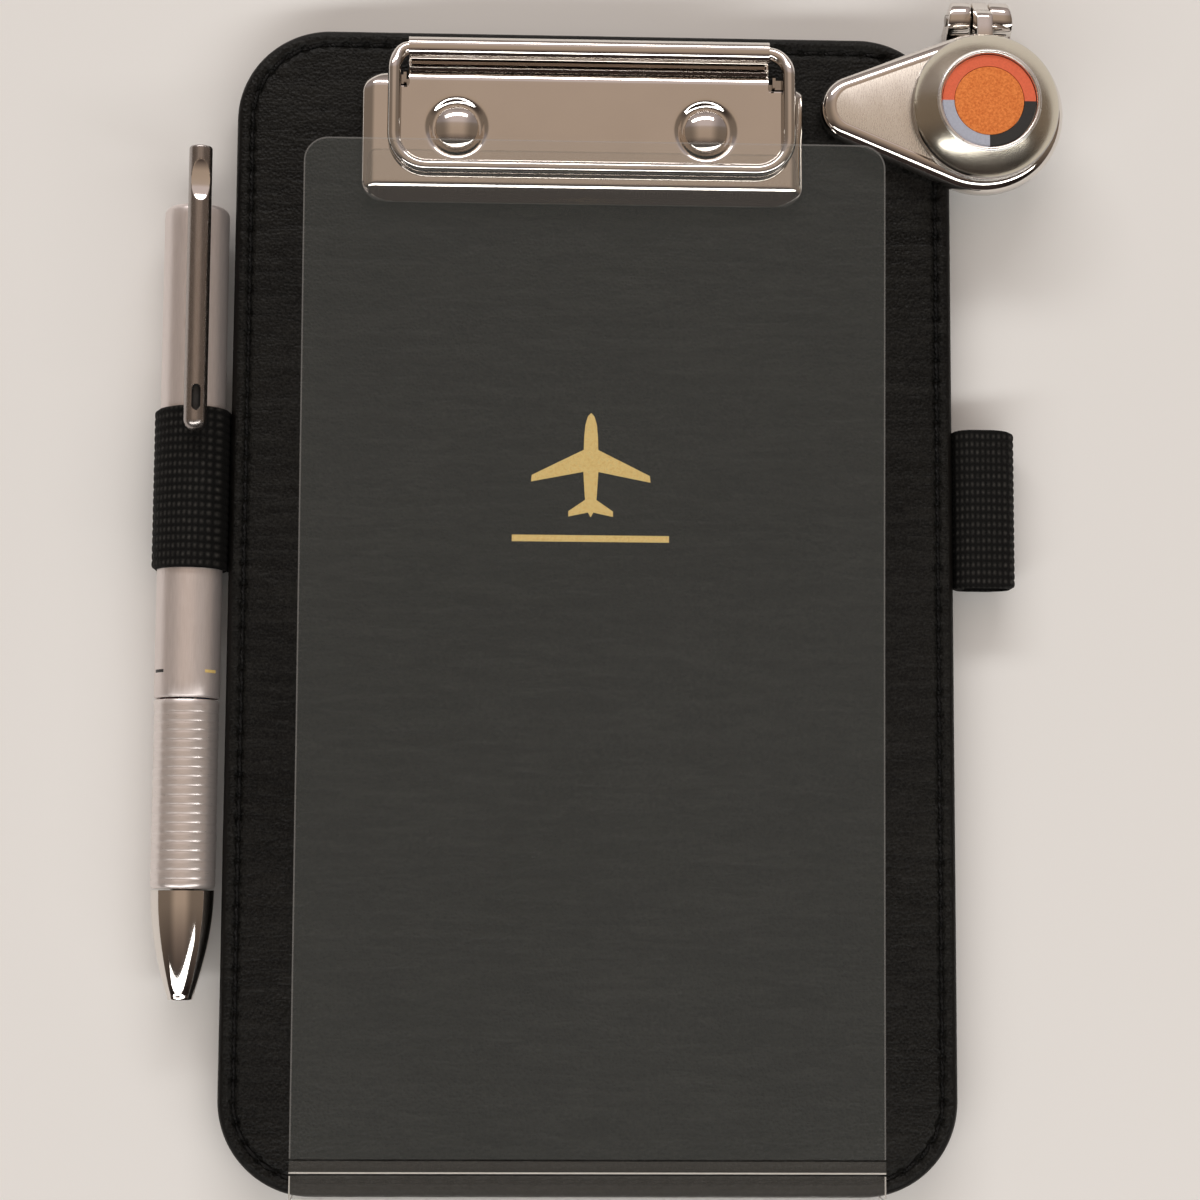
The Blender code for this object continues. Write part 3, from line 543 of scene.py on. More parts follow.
FOAM = paint_look("grey_foam", (0.02, 0.02, 0.02), (0.05, 0.05, 0.05), 0.4, 0.95, 0.1)
BLACK_PLASTIC = paint_look("black_plastic", (0.010, 0.010, 0.010), (0.018, 0.018, 0.018), 0.4, 0.4, 0.01)
BLUE_PLASTIC = paint_look("blue_plastic", (0.02, 0.05, 0.30), (0.03, 0.07, 0.40), 0.6, 0.4, 0.01)
RED_PLASTIC = paint_look("red_plastic", (0.40, 0.02, 0.02), (0.52, 0.03, 0.03), 0.6, 0.4, 0.01)


# Camera and light ----------------------------------------------------------------------------


def make_camera():
    """Camera above the board, a little towards its lower left, looking almost straight down."""
    data = bpy.data.cameras.new("camera")
    data.sensor_width = 36.0
    data.lens = 78.0
    data.clip_start = 0.01
    camera = bpy.data.objects.new("camera", data)
    bpy.context.scene.collection.objects.link(camera)
    tilt, yaw, roll = -0.1078, 0.0369, -0.0096
    distance, aside, up = 428.71, 1.236, 0.349
    turn = Matrix.Rotation(roll, 3, "Z") @ Matrix.Rotation(yaw, 3, "Y") @ Matrix.Rotation(tilt, 3, "X")
    place = turn.transposed() @ Vector((aside, up, distance))
    spot = ORIGIN + (place + Vector((0, 0, TOP_Z))) * MM
    camera.matrix_world = Matrix.Translation(spot) @ turn.transposed().to_4x4()
    bpy.context.scene.camera = camera


def make_floor():
    shape = bmesh.new()
    size = 3.0
    corners = [shape.verts.new((sx * size, sy * size, 0)) for sx, sy in ((-1, -1), (1, -1), (1, 1), (-1, 1))]
    shape.faces.new(corners)
    mesh = bpy.data.meshes.new("floor")
    shape.to_mesh(mesh)
    shape.free()
    floor_item = bpy.data.objects.new("floor", mesh)
    bpy.context.scene.collection.objects.link(floor_item)
    look = Look("pale_floor", (0.86, 0.86, 0.85), 0.9)
    mesh.materials.append(look.material)


def make_softbox(name, direction, distance, size, power, colour=(1.0, 0.98, 0.95)):
    """Rectangular softbox facing the board, with its degrees from vertical towards +Y and +X."""
    back, aside = (radians(angle) for angle in direction)
    toward = Vector((sin(aside), sin(back), 0))
    toward.z = sqrt(max(0.05, 1 - toward.length_squared))
    data = bpy.data.lights.new(name, "AREA")
    data.shape = "RECTANGLE"
    data.size, data.size_y = size
    data.energy = power
    data.color = colour
    light = bpy.data.objects.new(name, data)
    target = ORIGIN + Vector((0, 0.03, 0))
    light.location = target + toward * distance
    light.rotation_euler = toward.to_track_quat("Z", "Y").to_euler()
    bpy.context.scene.collection.objects.link(light)


def make_world():
    """A warm grey studio: brown overhead, lighter behind the clip, darker to both sides."""
    world = bpy.data.worlds.new("studio")
    bpy.context.scene.world = world
    world.use_nodes = True
    tree = world.node_tree
    place = tree.nodes.new("ShaderNodeTexCoord").outputs["Generated"]
    parts = tree.nodes.new("ShaderNodeSeparateXYZ")
    tree.links.new(place, parts.inputs[0])
    back = tree.nodes.new("ShaderNodeMapRange")
    back.inputs["From Min"].default_value = -1.0
    tree.links.new(parts.outputs["Y"], back.inputs["Value"])
    ramp = tree.nodes.new("ShaderNodeValToRGB")
    tree.links.new(back.outputs["Result"], ramp.inputs["Fac"])
    stops = [
        (0.00, (0.035, 0.025, 0.022)),
        (0.22, (0.040, 0.028, 0.025)),
        (0.33, (0.20, 0.15, 0.12)),
        (0.45, (0.42, 0.32, 0.245)),
        (0.60, (0.45, 0.345, 0.265)),
        (0.70, (0.47, 0.37, 0.30)),
        (0.75, (0.62, 0.52, 0.49)),
        (0.90, (0.62, 0.52, 0.49)),
        (1.00, (0.25, 0.21, 0.19)),
    ]
    ramp.color_ramp.elements.remove(ramp.color_ramp.elements[1])
    for place_on_ramp, colour in stops:
        stop = ramp.color_ramp.elements.new(place_on_ramp)
        stop.color = (*colour, 1.0)
    ramp.color_ramp.elements.remove(ramp.color_ramp.elements[0])
    side = tree.nodes.new("ShaderNodeMath")
    side.operation = "ABSOLUTE"
    tree.links.new(parts.outputs["X"], side.inputs[0])
    dim = tree.nodes.new("ShaderNodeMapRange")
    dim.interpolation_type = "SMOOTHSTEP"
    for socket, number in (("From Min", 0.22), ("From Max", 0.70), ("To Min", 1.0), ("To Max", 0.45)):
        dim.inputs[socket].default_value = number
    tree.links.new(side.outputs[0], dim.inputs["Value"])
    shade = tree.nodes.new("ShaderNodeVectorMath")
    shade.operation = "SCALE"
    tree.links.new(ramp.outputs["Color"], shade.inputs[0])
    tree.links.new(dim.outputs["Result"], shade.inputs["Scale"])
    background = tree.nodes["Background"]
    tree.links.new(shade.outputs["Vector"], background.inputs["Color"])
    background.inputs["Strength"].default_value = 1.0


def make_stage():
    make_camera()
    make_floor()
    make_world()
    make_softbox("front_softbox", (-42, 4), 0.9, (2.2, 0.16), 7.0)
    make_softbox("back_softbox", (54, -4), 0.9, (0.9, 0.14), 3.6)
    bpy.context.scene.view_settings.view_transform = "Standard"


# Board ---------------------------------------------------------------------------------------


def board_route(pitch):
    """Points round the board's outline: (place on the outline, inward direction), evenly spaced."""
    straight_x, straight_y = HALF_W - CORNER_R, HALF_H - CORNER_R
    inner_r = CORNER_R - STITCH_INSET
    turn_length = pi / 2 * inner_r
    sides = (2 * straight_y, turn_length, 2 * straight_x, turn_length) * 2
    total = sum(sides)
    count = int(round(total / pitch))
    corner_signs = ((1, 1), (-1, 1), (-1, -1), (1, -1))
    centres = [(straight_x * sign_x, straight_y * sign_y) for sign_x, sign_y in corner_signs]
    starts = ((HALF_W, -straight_y), (straight_x, HALF_H), (-HALF_W, straight_y), (-straight_x, -HALF_H))
    heading = ((0, 1), (-1, 0), (0, -1), (1, 0))
    route = []
    for step in range(count):
        place = total * step / count
        part = 0
        while place >= sides[part]:
            place -= sides[part]
            part += 1
        side, turning = part // 2, part % 2
        forward = Vector(heading[side])
        if turning:
            angle = (side + place / turn_length) * pi / 2
            outward = Vector((cos(angle), sin(angle)))
            route.append((Vector(centres[side]) + outward * CORNER_R, -outward))
        else:
            inward = Vector((-forward.y, forward.x))
            route.append((Vector(starts[side]) + forward * place, inward))
    return route, total


def leather_height(inset, hole):
    """Drop of the leather's face below its flat, at that distance from the edge."""
    drop = 0.0
    if inset < EDGE_R:
        drop += EDGE_R * 0.9 * (1 - sqrt(max(0.0, 1 - (1 - inset / EDGE_R) ** 2)))
    across = (inset - STITCH_INSET) / GROOVE_WIDTH
    drop += GROOVE_DEPTH * exp(-across * across)
    drop += 0.10 * exp(-(((inset - 5.2) / 2.4) ** 2))
    drop += HOLE_DEPTH * hole * exp(-(((inset - STITCH_INSET) / 0.5) ** 2))
    return drop


def leather_shell(name, face_z, up, replaced):
    """One leather face with its rolled edge and its stitched groove. up is 1 for the top, -1 for the back."""
    fine = 0.35
    route, total = board_route(fine)
    stitches = int(round(total / STITCH_PITCH))
    insets = [0.0, 0.03, 0.12, 0.28, 0.5, 0.8, 1.15, 1.5, 1.8, 2.0, 2.15, 2.3, 2.42, 2.52, 2.6]
    insets += [2.68, 2.78, 2.9, 3.05, 3.2, 3.4, 3.7, 4.2, 5.0, 6.0, 7.2, 8.6]
    shape = bmesh.new()
    rings = []
    seam = SEAM_Z + up * SEAM_GAP / 2
    rings.append([(*(place + inward * 3.6), seam) for place, inward in route])
    rings.append([(*(place + inward * 0.25), seam) for place, inward in route])
    rings.append([(*place, seam + up * 0.2) for place, inward in route])
    for inset in insets:
        ring = []
        for index, (place, inward) in enumerate(route):
            along = (index / len(route) * stitches) % 1.0
            off = min(along, 1 - along) * STITCH_PITCH
            hole = exp(-((off / 0.6) ** 2))
            height = face_z - up * leather_height(inset, hole)
            ring.append((*(place + inward * inset), height))
        rings.append(ring)
    slots = [1, 1, 1] + [1 if inset < 1.0 else 0 for inset in insets[1:]]
    rows = skin(shape, rings, caps=False, slots=slots)
    shape.faces.new(rows[-1])
    under = [(*(place + inward * 3.6), face_z - up * 0.9) for place, inward in route]
    inner = [shape.verts.new(point) for point in under]
    strip_faces(shape, inner, rows[0], slot=1)
    shape.faces.new(list(reversed(inner)))
    bmesh.ops.recalc_face_normals(shape, faces=shape.faces)
    return add_piece(name, shape, [LEATHER, LEATHER_EDGE], "root", replaced, sharp=60)


def stitch_row(name, face_z, up, replaced):
    """Separate stitches that lie in the groove and dip into their holes."""
    fine = 0.35
    route, total = board_route(fine)
    stitches = int(round(total / STITCH_PITCH))
    shape = bmesh.new()
    across_z = Vector((0, 0, up))
    for number in range(stitches):
        line, sizes = [], []
        for step in range(11):
            part = step / 10 * 2 - 1
            spot = (number + 0.5 + part * STITCH_LENGTH / STITCH_PITCH / 2) / stitches * len(route)
            low = int(floor(spot))
            mix = spot - low
            first, second = route[low % len(route)], route[(low + 1) % len(route)]
            start, end = first[0] + first[1] * STITCH_INSET, second[0] + second[1] * STITCH_INSET
            centre = start * (1 - mix) + end * mix
            dip = 0.42 * abs(part) ** 3.2
            slant = first[1] * 0.10 * part
            height = -GROOVE_DEPTH + 0.09 - dip
            line.append(Vector((*(centre + slant), face_z)) + across_z * height)
            sizes.append(THREAD_R * (1 - 0.35 * abs(part) ** 4))
        tube(shape, line, sizes, sides=10)
    bmesh.ops.recalc_face_normals(shape, faces=shape.faces)
    return add_piece(name, shape, [THREAD], "root", replaced)


def elastic_band(name, node, centre, half, corner, thickness, reach, side):
    """Ribbed band round a rounded box, whose tail runs into the board's edge."""
    outline = []
    steps = 30
    for quarter in range(4):
        cx = (half[0] - corner) * (1 if quarter in (0, 3) else -1)
        cz = (half[1] - corner) * (1 if quarter in (0, 1) else -1)
        for step in range(steps + 1):
            angle = (quarter + step / steps) * pi / 2
            rim = Vector((cx + corner * cos(angle), cz + corner * sin(angle)))
            outline.append((rim, Vector((cos(angle), sin(angle)))))
    dense = []
    for index, (point, out) in enumerate(outline):
        after, after_out = outline[(index + 1) % len(outline)]
        pieces = max(1, int((after - point).length / 0.22))
        for step in range(pieces):
            part = step / pieces
            dense.append((point.lerp(after, part), out.lerp(after_out, part).normalized()))
    lengths = [0.0]
    for first, second in zip(dense, dense[1:] + dense[:1]):
        lengths.append(lengths[-1] + (second[0] - first[0]).length)
    turns = round(lengths[-1] / WEAVE_PITCH)
    width = reach[1] - reach[0]
    ribs = round(width / RIB_PITCH)
    rows = []
    samples = ribs * 8
    middle = (reach[0] + reach[1]) / 2
    for sample in range(samples + 1):
        y = reach[0] + width * sample / samples
        edge = min(y - reach[0], reach[1] - y)
        rounding = 0.25 * (1 - sqrt(max(0.0, 1 - (1 - min(edge, 0.4) / 0.4) ** 2)))
        rib = abs(sin(pi * (y - reach[0]) / width * ribs)) ** 0.6
        number = int((y - reach[0]) / width * ribs)
        row = []
        for (point, out), length in zip(dense, lengths):
            weave = 0.5 + 0.5 * cos(2 * pi * (length / lengths[-1] * turns + 0.5 * (number % 2)))
            proud = 0.16 * rib * (0.72 + 0.28 * weave) - 0.16 - rounding
            spot = point + out * proud
            x = centre[0] + spot.x
            outer_part = smoothstep(side * spot.x, half[0] * 0.2, half[0])
            row.append(Vector((x, middle + (y - middle) * (1 - 0.022 * outer_part), centre[1] + spot.y)))
        rows.append(row)
    inner_rows = []
    for y in (reach[1] - 0.02, reach[0] + 0.02):
        row = []
        for point, out in dense:
            spot = point - out * thickness
            row.append(Vector((centre[0] + spot.x, y, centre[1] + spot.y)))
        inner_rows.append(row)
    shape = bmesh.new()
    skin(shape, rows + inner_rows, closed=True)
    join = 0.6 * half[0] if half[0] < 6 else half[0] - TAIL_LAP
    tail_x = sorted((side * ELASTIC_TAIL_X, centre[0] - side * join))
    tail_z = ELASTIC_TAIL_Z
    corners = [(tail_x[0], tail_z[0]), (tail_x[1], tail_z[0]), (tail_x[1], tail_z[1]), (tail_x[0], tail_z[1])]
    tail_rings = [[(x, y, z) for x, z in corners] for y in (reach[0] + 0.15, reach[1] - 0.15)]
    skin(shape, tail_rings)
    bmesh.ops.recalc_face_normals(shape, faces=shape.faces)
    return add_piece(name, shape, [ELASTIC], "root", (node,), sharp=70)


def make_board():
    leather_shell("leather_face", TOP_Z, 1, ("front_leather",))
    leather_shell("leather_back", BACK_Z, -1, ("rear_leather",))
    stitch_row("face_stitches", TOP_Z, 1, ("front_stitching",))
    stitch_row("back_stitches", BACK_Z, -1, ("rear_stitching",))
    for node, side, thickness, corner in (("left_pen_loop", -1, 0.7, 6.2), ("right_pen_loop", 1, 0.9, 3.2)):
        low, high = node_box(node)
        if side < 0:
            radius = (high.z - low.z) / 2
            centre, half = (low.x + radius, low.z + radius), (radius, radius)
            corner = radius - 0.01
        else:
            centre = ((RIGHT_LOOP_X + high.x) / 2, (low.z + high.z) / 2)
            half = ((high.x - RIGHT_LOOP_X) / 2, (high.z - low.z) / 2)
        name = "elastic_left" if side < 0 else "elastic_right"
        elastic_band(name, node, centre, half, corner, thickness, (low.y, high.y), side)
    materials = {"foam_pad": FOAM, "core_board": BOARD}
    for node, material in materials.items():
        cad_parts[node].data.materials.clear()
        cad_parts[node].data.materials.append(material)


# Paper clip ----------------------------------------------------------------------------------


def plate_drop(x, y, outer_x, top_y):
    """How far the plate's face lies below its flat."""
    lip = LIP_DROP * max(0.0, (LIP_Y + RIDGE_W - y) / RIDGE_W) ** 1.55
    side = SIDE_DROP * max(0.0, (SIDE_W - abs(outer_x - x)) / SIDE_W) ** 1.9
    top = TOP_DROP * max(0.0, (TOP_W - (top_y - y)) / TOP_W) ** 1.8 if top_y else 0.0
    drop = hypot(lip, side, top)
    for rivet_x in RIVET_X:
        away = hypot(x - rivet_x, y - RIVET_Y)
        drop += DISH_DEPTH * (1 - smoothstep(away, *DISH_R))
    return drop


def corner_in(distance, radius):
    """How far a round corner pulls an edge in, at that distance from the corner's end."""
    if distance >= radius:
        return 0.0
    return radius - sqrt(max(0.0, radius**2 - (radius - distance) ** 2))


def tongue_line():
    """Upper side of the sheet from the flat, down into the valley and round inside the roll."""
    line = []
    start, depth, reach = NOTCH_Y + 1.0, 0.95, 3.2
    for step in range(1, 15):
        part = step / 14
        line.append((start + reach * part, PLATE_TOP - depth * (part * part * (3 - 2 * part))))
    join = (ROLL_Y + ROLL_INNER * cos(radians(258)), ROLL_Z + ROLL_INNER * sin(radians(258)))
    last = line[-1]
    for step in range(1, 4):
        part = step / 4
        line.append((last[0] + (join[0] - last[0]) * part, last[1] + (join[1] - last[1]) * part))
    for step in range(41):
        angle = radians(258 + (522 - 258) * step / 40)
        line.append((ROLL_Y + ROLL_INNER * cos(angle), ROLL_Z + ROLL_INNER * sin(angle)))
    return line


def spaced(low, high, pitch):
    count = max(1, int(round(abs(high - low) / pitch)))
    return [low + (high - low) * step / count for step in range(count + 1)]


def make_plate():
    corner = 3.5
    rows_y = [LIP_Y + RIDGE_W * part / 26 for part in range(26)]
    rows_y += spaced(LIP_Y + RIDGE_W, NOTCH_Y, 0.3)
    shape = bmesh.new()
    middle = spaced(NOTCH_X[0], TONGUE_X[0], 0.45)[:-1]
    middle += spaced(TONGUE_X[0], TONGUE_X[1], 0.35)
    middle += spaced(TONGUE_X[1], NOTCH_X[1], 0.45)[1:]
    wing_parts = [1 - (1 - step / 16) ** 1.3 for step in range(16)]
    left, right = PLATE_X
    grid = []

    def wing_x(edge, notch, y, top_y):
        top_corner = min(corner, abs(edge - notch) - 0.3)
        pull = max(corner_in(y - LIP_Y, corner), corner_in(top_y - y, top_corner))
        outer = edge + (pull if edge < 0 else -pull)
        notch = notch if edge < 0 else min(notch, outer - 0.2)
        return outer, [outer + (notch - outer) * part for part in wing_parts]

    def vertex(x, y, outer, top_y):
        return shape.verts.new((x, y, PLATE_TOP - plate_drop(x, y, outer, top_y)))

    for y in rows_y:
        outer_l, xs_l = wing_x(left, NOTCH_X[0], y, WING_TOP_Y[0])
        outer_r, xs_r = wing_x(right, NOTCH_X[1], y, WING_TOP_Y[1])
        row = [vertex(x, y, outer_l, WING_TOP_Y[0]) for x in xs_l]
        limit = min(NOTCH_X[1], outer_r - 0.2)
        for x in middle:
            near_left = x < 0
            top_y = 0.0
            if x <= NOTCH_X[0] + 0.01:
                top_y = WING_TOP_Y[0]
            elif x >= NOTCH_X[1] - 0.01:
                top_y = WING_TOP_Y[1]
            if x > TONGUE_X[1]:
                x = TONGUE_X[1] + (x - TONGUE_X[1]) * (limit - TONGUE_X[1]) / (NOTCH_X[1] - TONGUE_X[1])
            row.append(vertex(x, y, outer_l if near_left else outer_r, top_y))
        row += [vertex(x, y, outer_r, WING_TOP_Y[1]) for x in reversed(xs_r)]
        grid.append(row)
    for first, second in zip(grid, grid[1:]):
        strip_faces(shape, first, second, around=False)
    count = len(wing_parts)
    last = grid[-1]
    for edge, notch, top_y, base in (
        (left, NOTCH_X[0], WING_TOP_Y[0], last[: count + 1]),
        (right, NOTCH_X[1], WING_TOP_Y[1], last[-count - 1 :][::-1]),
    ):
        before = base
        for y in spaced(NOTCH_Y, top_y, 0.22)[1:]:
            outer, xs = wing_x(edge, notch, y, top_y)
            row = [vertex(x, y, outer, top_y) for x in xs + [notch]]
            strip_faces(shape, before, row, around=False)
            before = row
    lefts = [index for index, x in enumerate(middle) if abs(x - TONGUE_X[0]) < 0.01][0] + count
    rights = [index for index, x in enumerate(middle) if abs(x - TONGUE_X[1]) < 0.01][0] + count
    before = last[lefts : rights + 1]
    for y, z in [(NOTCH_Y + 0.45, PLATE_TOP), (NOTCH_Y + 0.9, PLATE_TOP)] + tongue_line():
        row = [shape.verts.new((vert.co.x, y, z)) for vert in last[lefts : rights + 1]]
        strip_faces(shape, before, row, around=False)
        before = row
    bmesh.ops.recalc_face_normals(shape, faces=shape.faces)
    shape.faces.ensure_lookup_table()
    if shape.faces[0].normal.z < 0:
        bmesh.ops.reverse_faces(shape, faces=shape.faces)
    plate = add_piece("plate", shape, [CHROME], "clip_plate", ("clip_plate",), sharp=60)
    solid = plate.modifiers.new("sheet", "SOLIDIFY")
    solid.thickness = PLATE_T * MM
    solid.offset = -1.0
    solid.use_even_offset = False
    bevel = plate.modifiers.new("edge", "BEVEL")
    bevel.width = 0.09 * MM
    bevel.segments = 2
    bevel.limit_method = "ANGLE"
    bevel.angle_limit = radians(60)
    return plate


def bail_route():
    """Closed route of the wire's middle."""
    left, right = BAIL_X
    shoulder = ROLL_Y - BAIL_SHOULDER
    low = BAIL_BAR[0] + BAIL_CORNER
    corners = (
        ((TONGUE_X[1], shoulder), (right - TONGUE_X[1], BAIL_SHOULDER), 90),
        ((right - BAIL_CORNER, low), (BAIL_CORNER, BAIL_CORNER), 0),
        ((left + BAIL_CORNER, low), (BAIL_CORNER, BAIL_CORNER), -90),
        ((TONGUE_X[0], shoulder), (TONGUE_X[0] - left, BAIL_SHOULDER), 180),
    )
    points = []
    for (cx, cy), (rx, ry), start in corners:
        for step in range(25):
            angle = radians(start - 90 * step / 24)
            points.append(Vector((cx + rx * cos(angle), cy + ry * sin(angle), 0)))
    dense = []
    for index, point in enumerate(points):
        after = points[(index + 1) % len(points)]
        pieces = max(1, int((after - point).length / 0.8))
        dense += [point.lerp(after, step / pieces) for step in range(pieces)]
    for point in dense:
        part = max(0.0, (point.y - shoulder) / BAIL_SHOULDER)
        fall = part * part * (3 - 2 * part)
        run = max(0.0, min(1.0, (point.y - low) / (shoulder - low)))
        bow = 0.16 * sin(pi * run)
        point.z = BAIL_BAR[1] + bow + fall * (ROLL_Z - BAIL_BAR[1])
    return dense


def make_clip():
    make_plate()
    shape = bmesh.new()
    tube(shape, bail_route(), BAIL_R, sides=32, closed=True)
    bmesh.ops.recalc_face_normals(shape, faces=shape.faces)
    add_piece("bail_wire", shape, [CHROME], "bail", ("wire_bail",), sharp=80)
    dome_r = (HEAD_R**2 + 1.15**2) / (2 * 1.15)
    dome = []
    for step in range(22):
        radius = (HEAD_R - 0.12) * (1 - step / 22)
        dome.append((radius, HEAD_Z[1] - dome_r + sqrt(dome_r**2 - radius**2)))
    profile = [(0, 8.6), (1.55, 8.6), (1.55, HEAD_Z[0] - 0.1), (HEAD_R - 0.25, HEAD_Z[0] - 0.1)]
    profile += [(HEAD_R - 0.04, HEAD_Z[0]), (HEAD_R, HEAD_Z[0] + 0.06)] + dome + [(0, HEAD_Z[1])]
    for side, x in zip(("left", "right"), RIVET_X):
        head = turned(profile, (x, RIVET_Y, 0), steps=72)
        add_piece(f"rivet_head_{side}", head, [CHROME], "root", (f"rivet_{side}",))
    for node in ("clip_base", "clip_spring", "rivet_washer_left", "rivet_washer_right"):
        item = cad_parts[node]
        item.data.materials.clear()
        item.data.materials.append(CHROME_DARK if node == "clip_base" else STEEL)
        if node == "clip_base":
            bevel = item.modifiers.new("edge", "BEVEL")
            bevel.width = 0.12 * MM
            bevel.segments = 2
            bevel.limit_method = "ANGLE"
    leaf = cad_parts["clip_spring"]
    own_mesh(leaf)


# Clear cover ---------------------------------------------------------------------------------


def film_outline(x, y, inset):
    """Outline with square corners at the hinge and round ones at the free end."""
    radius = FILM_CORNER - inset
    left, right = x[0] + inset, x[1] - inset
    top = y[1] - inset
    points = [(right, y[0])]
    for quarter, cx in ((0, right - radius), (1, left + radius)):
        for step in range(13):
            angle = (quarter + step / 12) * pi / 2
            points.append((cx + radius * cos(angle), top - radius + radius * sin(angle)))
    points.append((left, y[0]))
    return points


def make_film():
    low, high = node_box("cover_film")
    x = (low.x, high.x)
    length = FILM_Y[1] - FILM_Y[0]
    shape = bmesh.new()
    border = 0.22
    outer = film_outline(x, FILM_Y, 0.0)
    inner = film_outline(x, FILM_Y, border)
    # The side band between the outer and inner outlines takes the edge material, a painted highlight.
    levels = ((inner, 0.0), (outer, 0.05), (outer, FILM_T - 0.05), (inner, FILM_T))
    rings = [[(px, py, pz) for px, py in ring] for ring, pz in levels]
    rows = skin(shape, rings, caps=False, slots=[1, 1, 1])
    shape.faces.new(list(reversed(rows[0])))
    shape.faces.new(rows[-1])
    for step in range(1, 60):
        place = FILM_Y[0] + length * step / 60
        whole = shape.verts[:] + shape.edges[:] + shape.faces[:]
        bmesh.ops.bisect_plane(shape, geom=whole, plane_co=(0, place, 0), plane_no=(0, 1, 0))
    slope = sin(radians(FILM_SLOPE))
    for vert in shape.verts:
        along = (vert.co.y - FILM_Y[0]) / length
        lift = slope * length * along
        sag = -0.55 * sin(pi * min(1.0, along * 1.12)) if along * 1.12 < 1 else 0.0
        ripple = 0.05 * sin(vert.co.x * 0.07 + 1.0) * sin(pi * along)
        vert.co.z += COVER_Z + lift + sag + ripple
    bmesh.ops.recalc_face_normals(shape, faces=shape.faces)
    add_piece("film", shape, [FILM, FILM_EDGE_HIGHLIGHT], "cover", ("cover_film",), sharp=50)


def make_hem():
    low, high = node_box("cover_hem")
    shape = bmesh.new()
    line = []
    for step in range(13):
        part = step / 12
        arch = 0.10 * sin(pi * part)
        line.append((HEM_Y[0] + (HEM_Y[1] - HEM_Y[0]) * part, COVER_Z + FILM_T + arch))
    outline = sheet_line(line, FILM_T)
    rings = [[(x, p.x, p.y) for p in outline] for x in spaced(low.x, high.x, 4.0)]
    skin(shape, rings)
    # A thin bead along the hem's crease carries a painted highlight.
    bead = [Vector((x, HEM_Y[0] + 0.12, COVER_Z + FILM_T * 0.62)) for x in spaced(low.x, high.x, 4.0)]
    tube(shape, bead, 0.15, sides=12, slot=1)
    bmesh.ops.recalc_face_normals(shape, faces=shape.faces)
    add_piece("film_hem", shape, [FILM_HEM, FILM_CREASE_HIGHLIGHT], "cover_hem", ("cover_hem",), sharp=60)


def make_tab():
    """Film that wraps the board's lower edge and is fixed to its back."""
    low, high = node_box("cover_tab")
    edge = low.y + FILM_T
    upper = COVER_Z + FILM_T
    lower = low.z
    corners = [(TAB_Y, upper), (low.y, upper), (low.y, lower), (-88.0, lower)]
    outline = []
    for index, corner in enumerate(corners):
        if index in (0, 3):
            outline.append(Vector(corner))
            continue
        here = Vector(corner)
        before = (Vector(corners[index - 1]) - here).normalized()
        after = (Vector(corners[index + 1]) - here).normalized()
        reach = 1.5
        for step in range(11):
            part = step / 10
            outline.append(here + before * reach * (1 - part) ** 2 + after * reach * part**2)
    line = [(p.x, p.y) for p in reversed(outline)]
    shape = bmesh.new()
    rings = [[(x, p.x, p.y) for p in sheet_line(line, FILM_T)] for x in spaced(low.x, high.x, 4.0)]
    skin(shape, rings)
    # Strands along both sides of the tab carry a painted highlight for the film's bright corners.
    for x in (low.x + 0.12, high.x - 0.12):
        strand = [Vector((x, p[0], p[1])) for p in line]
        centre = Vector((x, edge + 2.0, (upper + lower) / 2))
        inner = [point + (centre - point).normalized() * 0.16 for point in strand]
        for point in inner:
            point.x = x
        shape_rings = []
        for point in inner:
            square = [(cos(a), sin(a)) for a in (0, pi / 2, pi, 3 * pi / 2)]
            shape_rings.append([(point.x + 0.12 * sx, point.y, point.z + 0.12 * sz) for sx, sz in square])
        skin(shape, shape_rings, slots=[1] * len(shape_rings))
    bmesh.ops.recalc_face_normals(shape, faces=shape.faces)
    add_piece("film_tab", shape, [FILM_HEM, FILM_CREASE_HIGHLIGHT], "root", ("cover_tab",), sharp=60)


def make_mark():
    """Gold foil on the leather under the film: a small plan view of an aeroplane over a plain bar."""
    half = [
        (0.0, 9.6), (0.55, 9.0), (0.95, 7.6), (1.15, 5.4), (1.2, 3.4), (9.8, -0.9), (9.9, -2.0),
        (1.25, -0.3), (0.95, -5.0), (3.7, -6.9), (3.7, -7.8), (0.45, -7.1), (0.0, -7.9),
    ]
    outline = half + [(-x, y) for x, y in half[-2:0:-1]]
    shape = bmesh.new()
    low, high = TOP_Z + 0.005, TOP_Z + 0.045
    centre = (-0.4, 22.0)
    prism = [[(centre[0] + x, centre[1] + y, z) for x, y in outline] for z in (low, high)]
    skin(shape, prism)
    bar = [(-13.0, -12.0), (13.0, -12.0), (13.0, -10.9), (-13.0, -10.9)]
    skin(shape, [[(centre[0] + x, centre[1] + y, z) for x, y in bar] for z in (low, high)])
    bmesh.ops.recalc_face_normals(shape, faces=shape.faces)
    add_piece("gold_mark", shape, [GOLD], "root")


# Indicator -----------------------------------------------------------------------------------


def teardrop(inset, steps=48):
    lean = atan2(TOE[1] - COIN[1], TOE[0] - COIN[0])
    reach = hypot(TOE[0] - COIN[0], TOE[1] - COIN[1])
    tangent = acos((JAW_HEAD_R - JAW_TOE_R) / reach)
    points = []
    for centre, radius, start, sweep, count in (
        (COIN, JAW_HEAD_R - inset, lean + tangent, 2 * pi - 2 * tangent, steps * 2),
        (TOE, JAW_TOE_R - inset, lean - tangent, 2 * tangent, steps),
    ):
        for step in range(count + 1):
            angle = start + sweep * step / count
            points.append(Vector((centre[0] + radius * cos(angle), centre[1] + radius * sin(angle))))
    return points


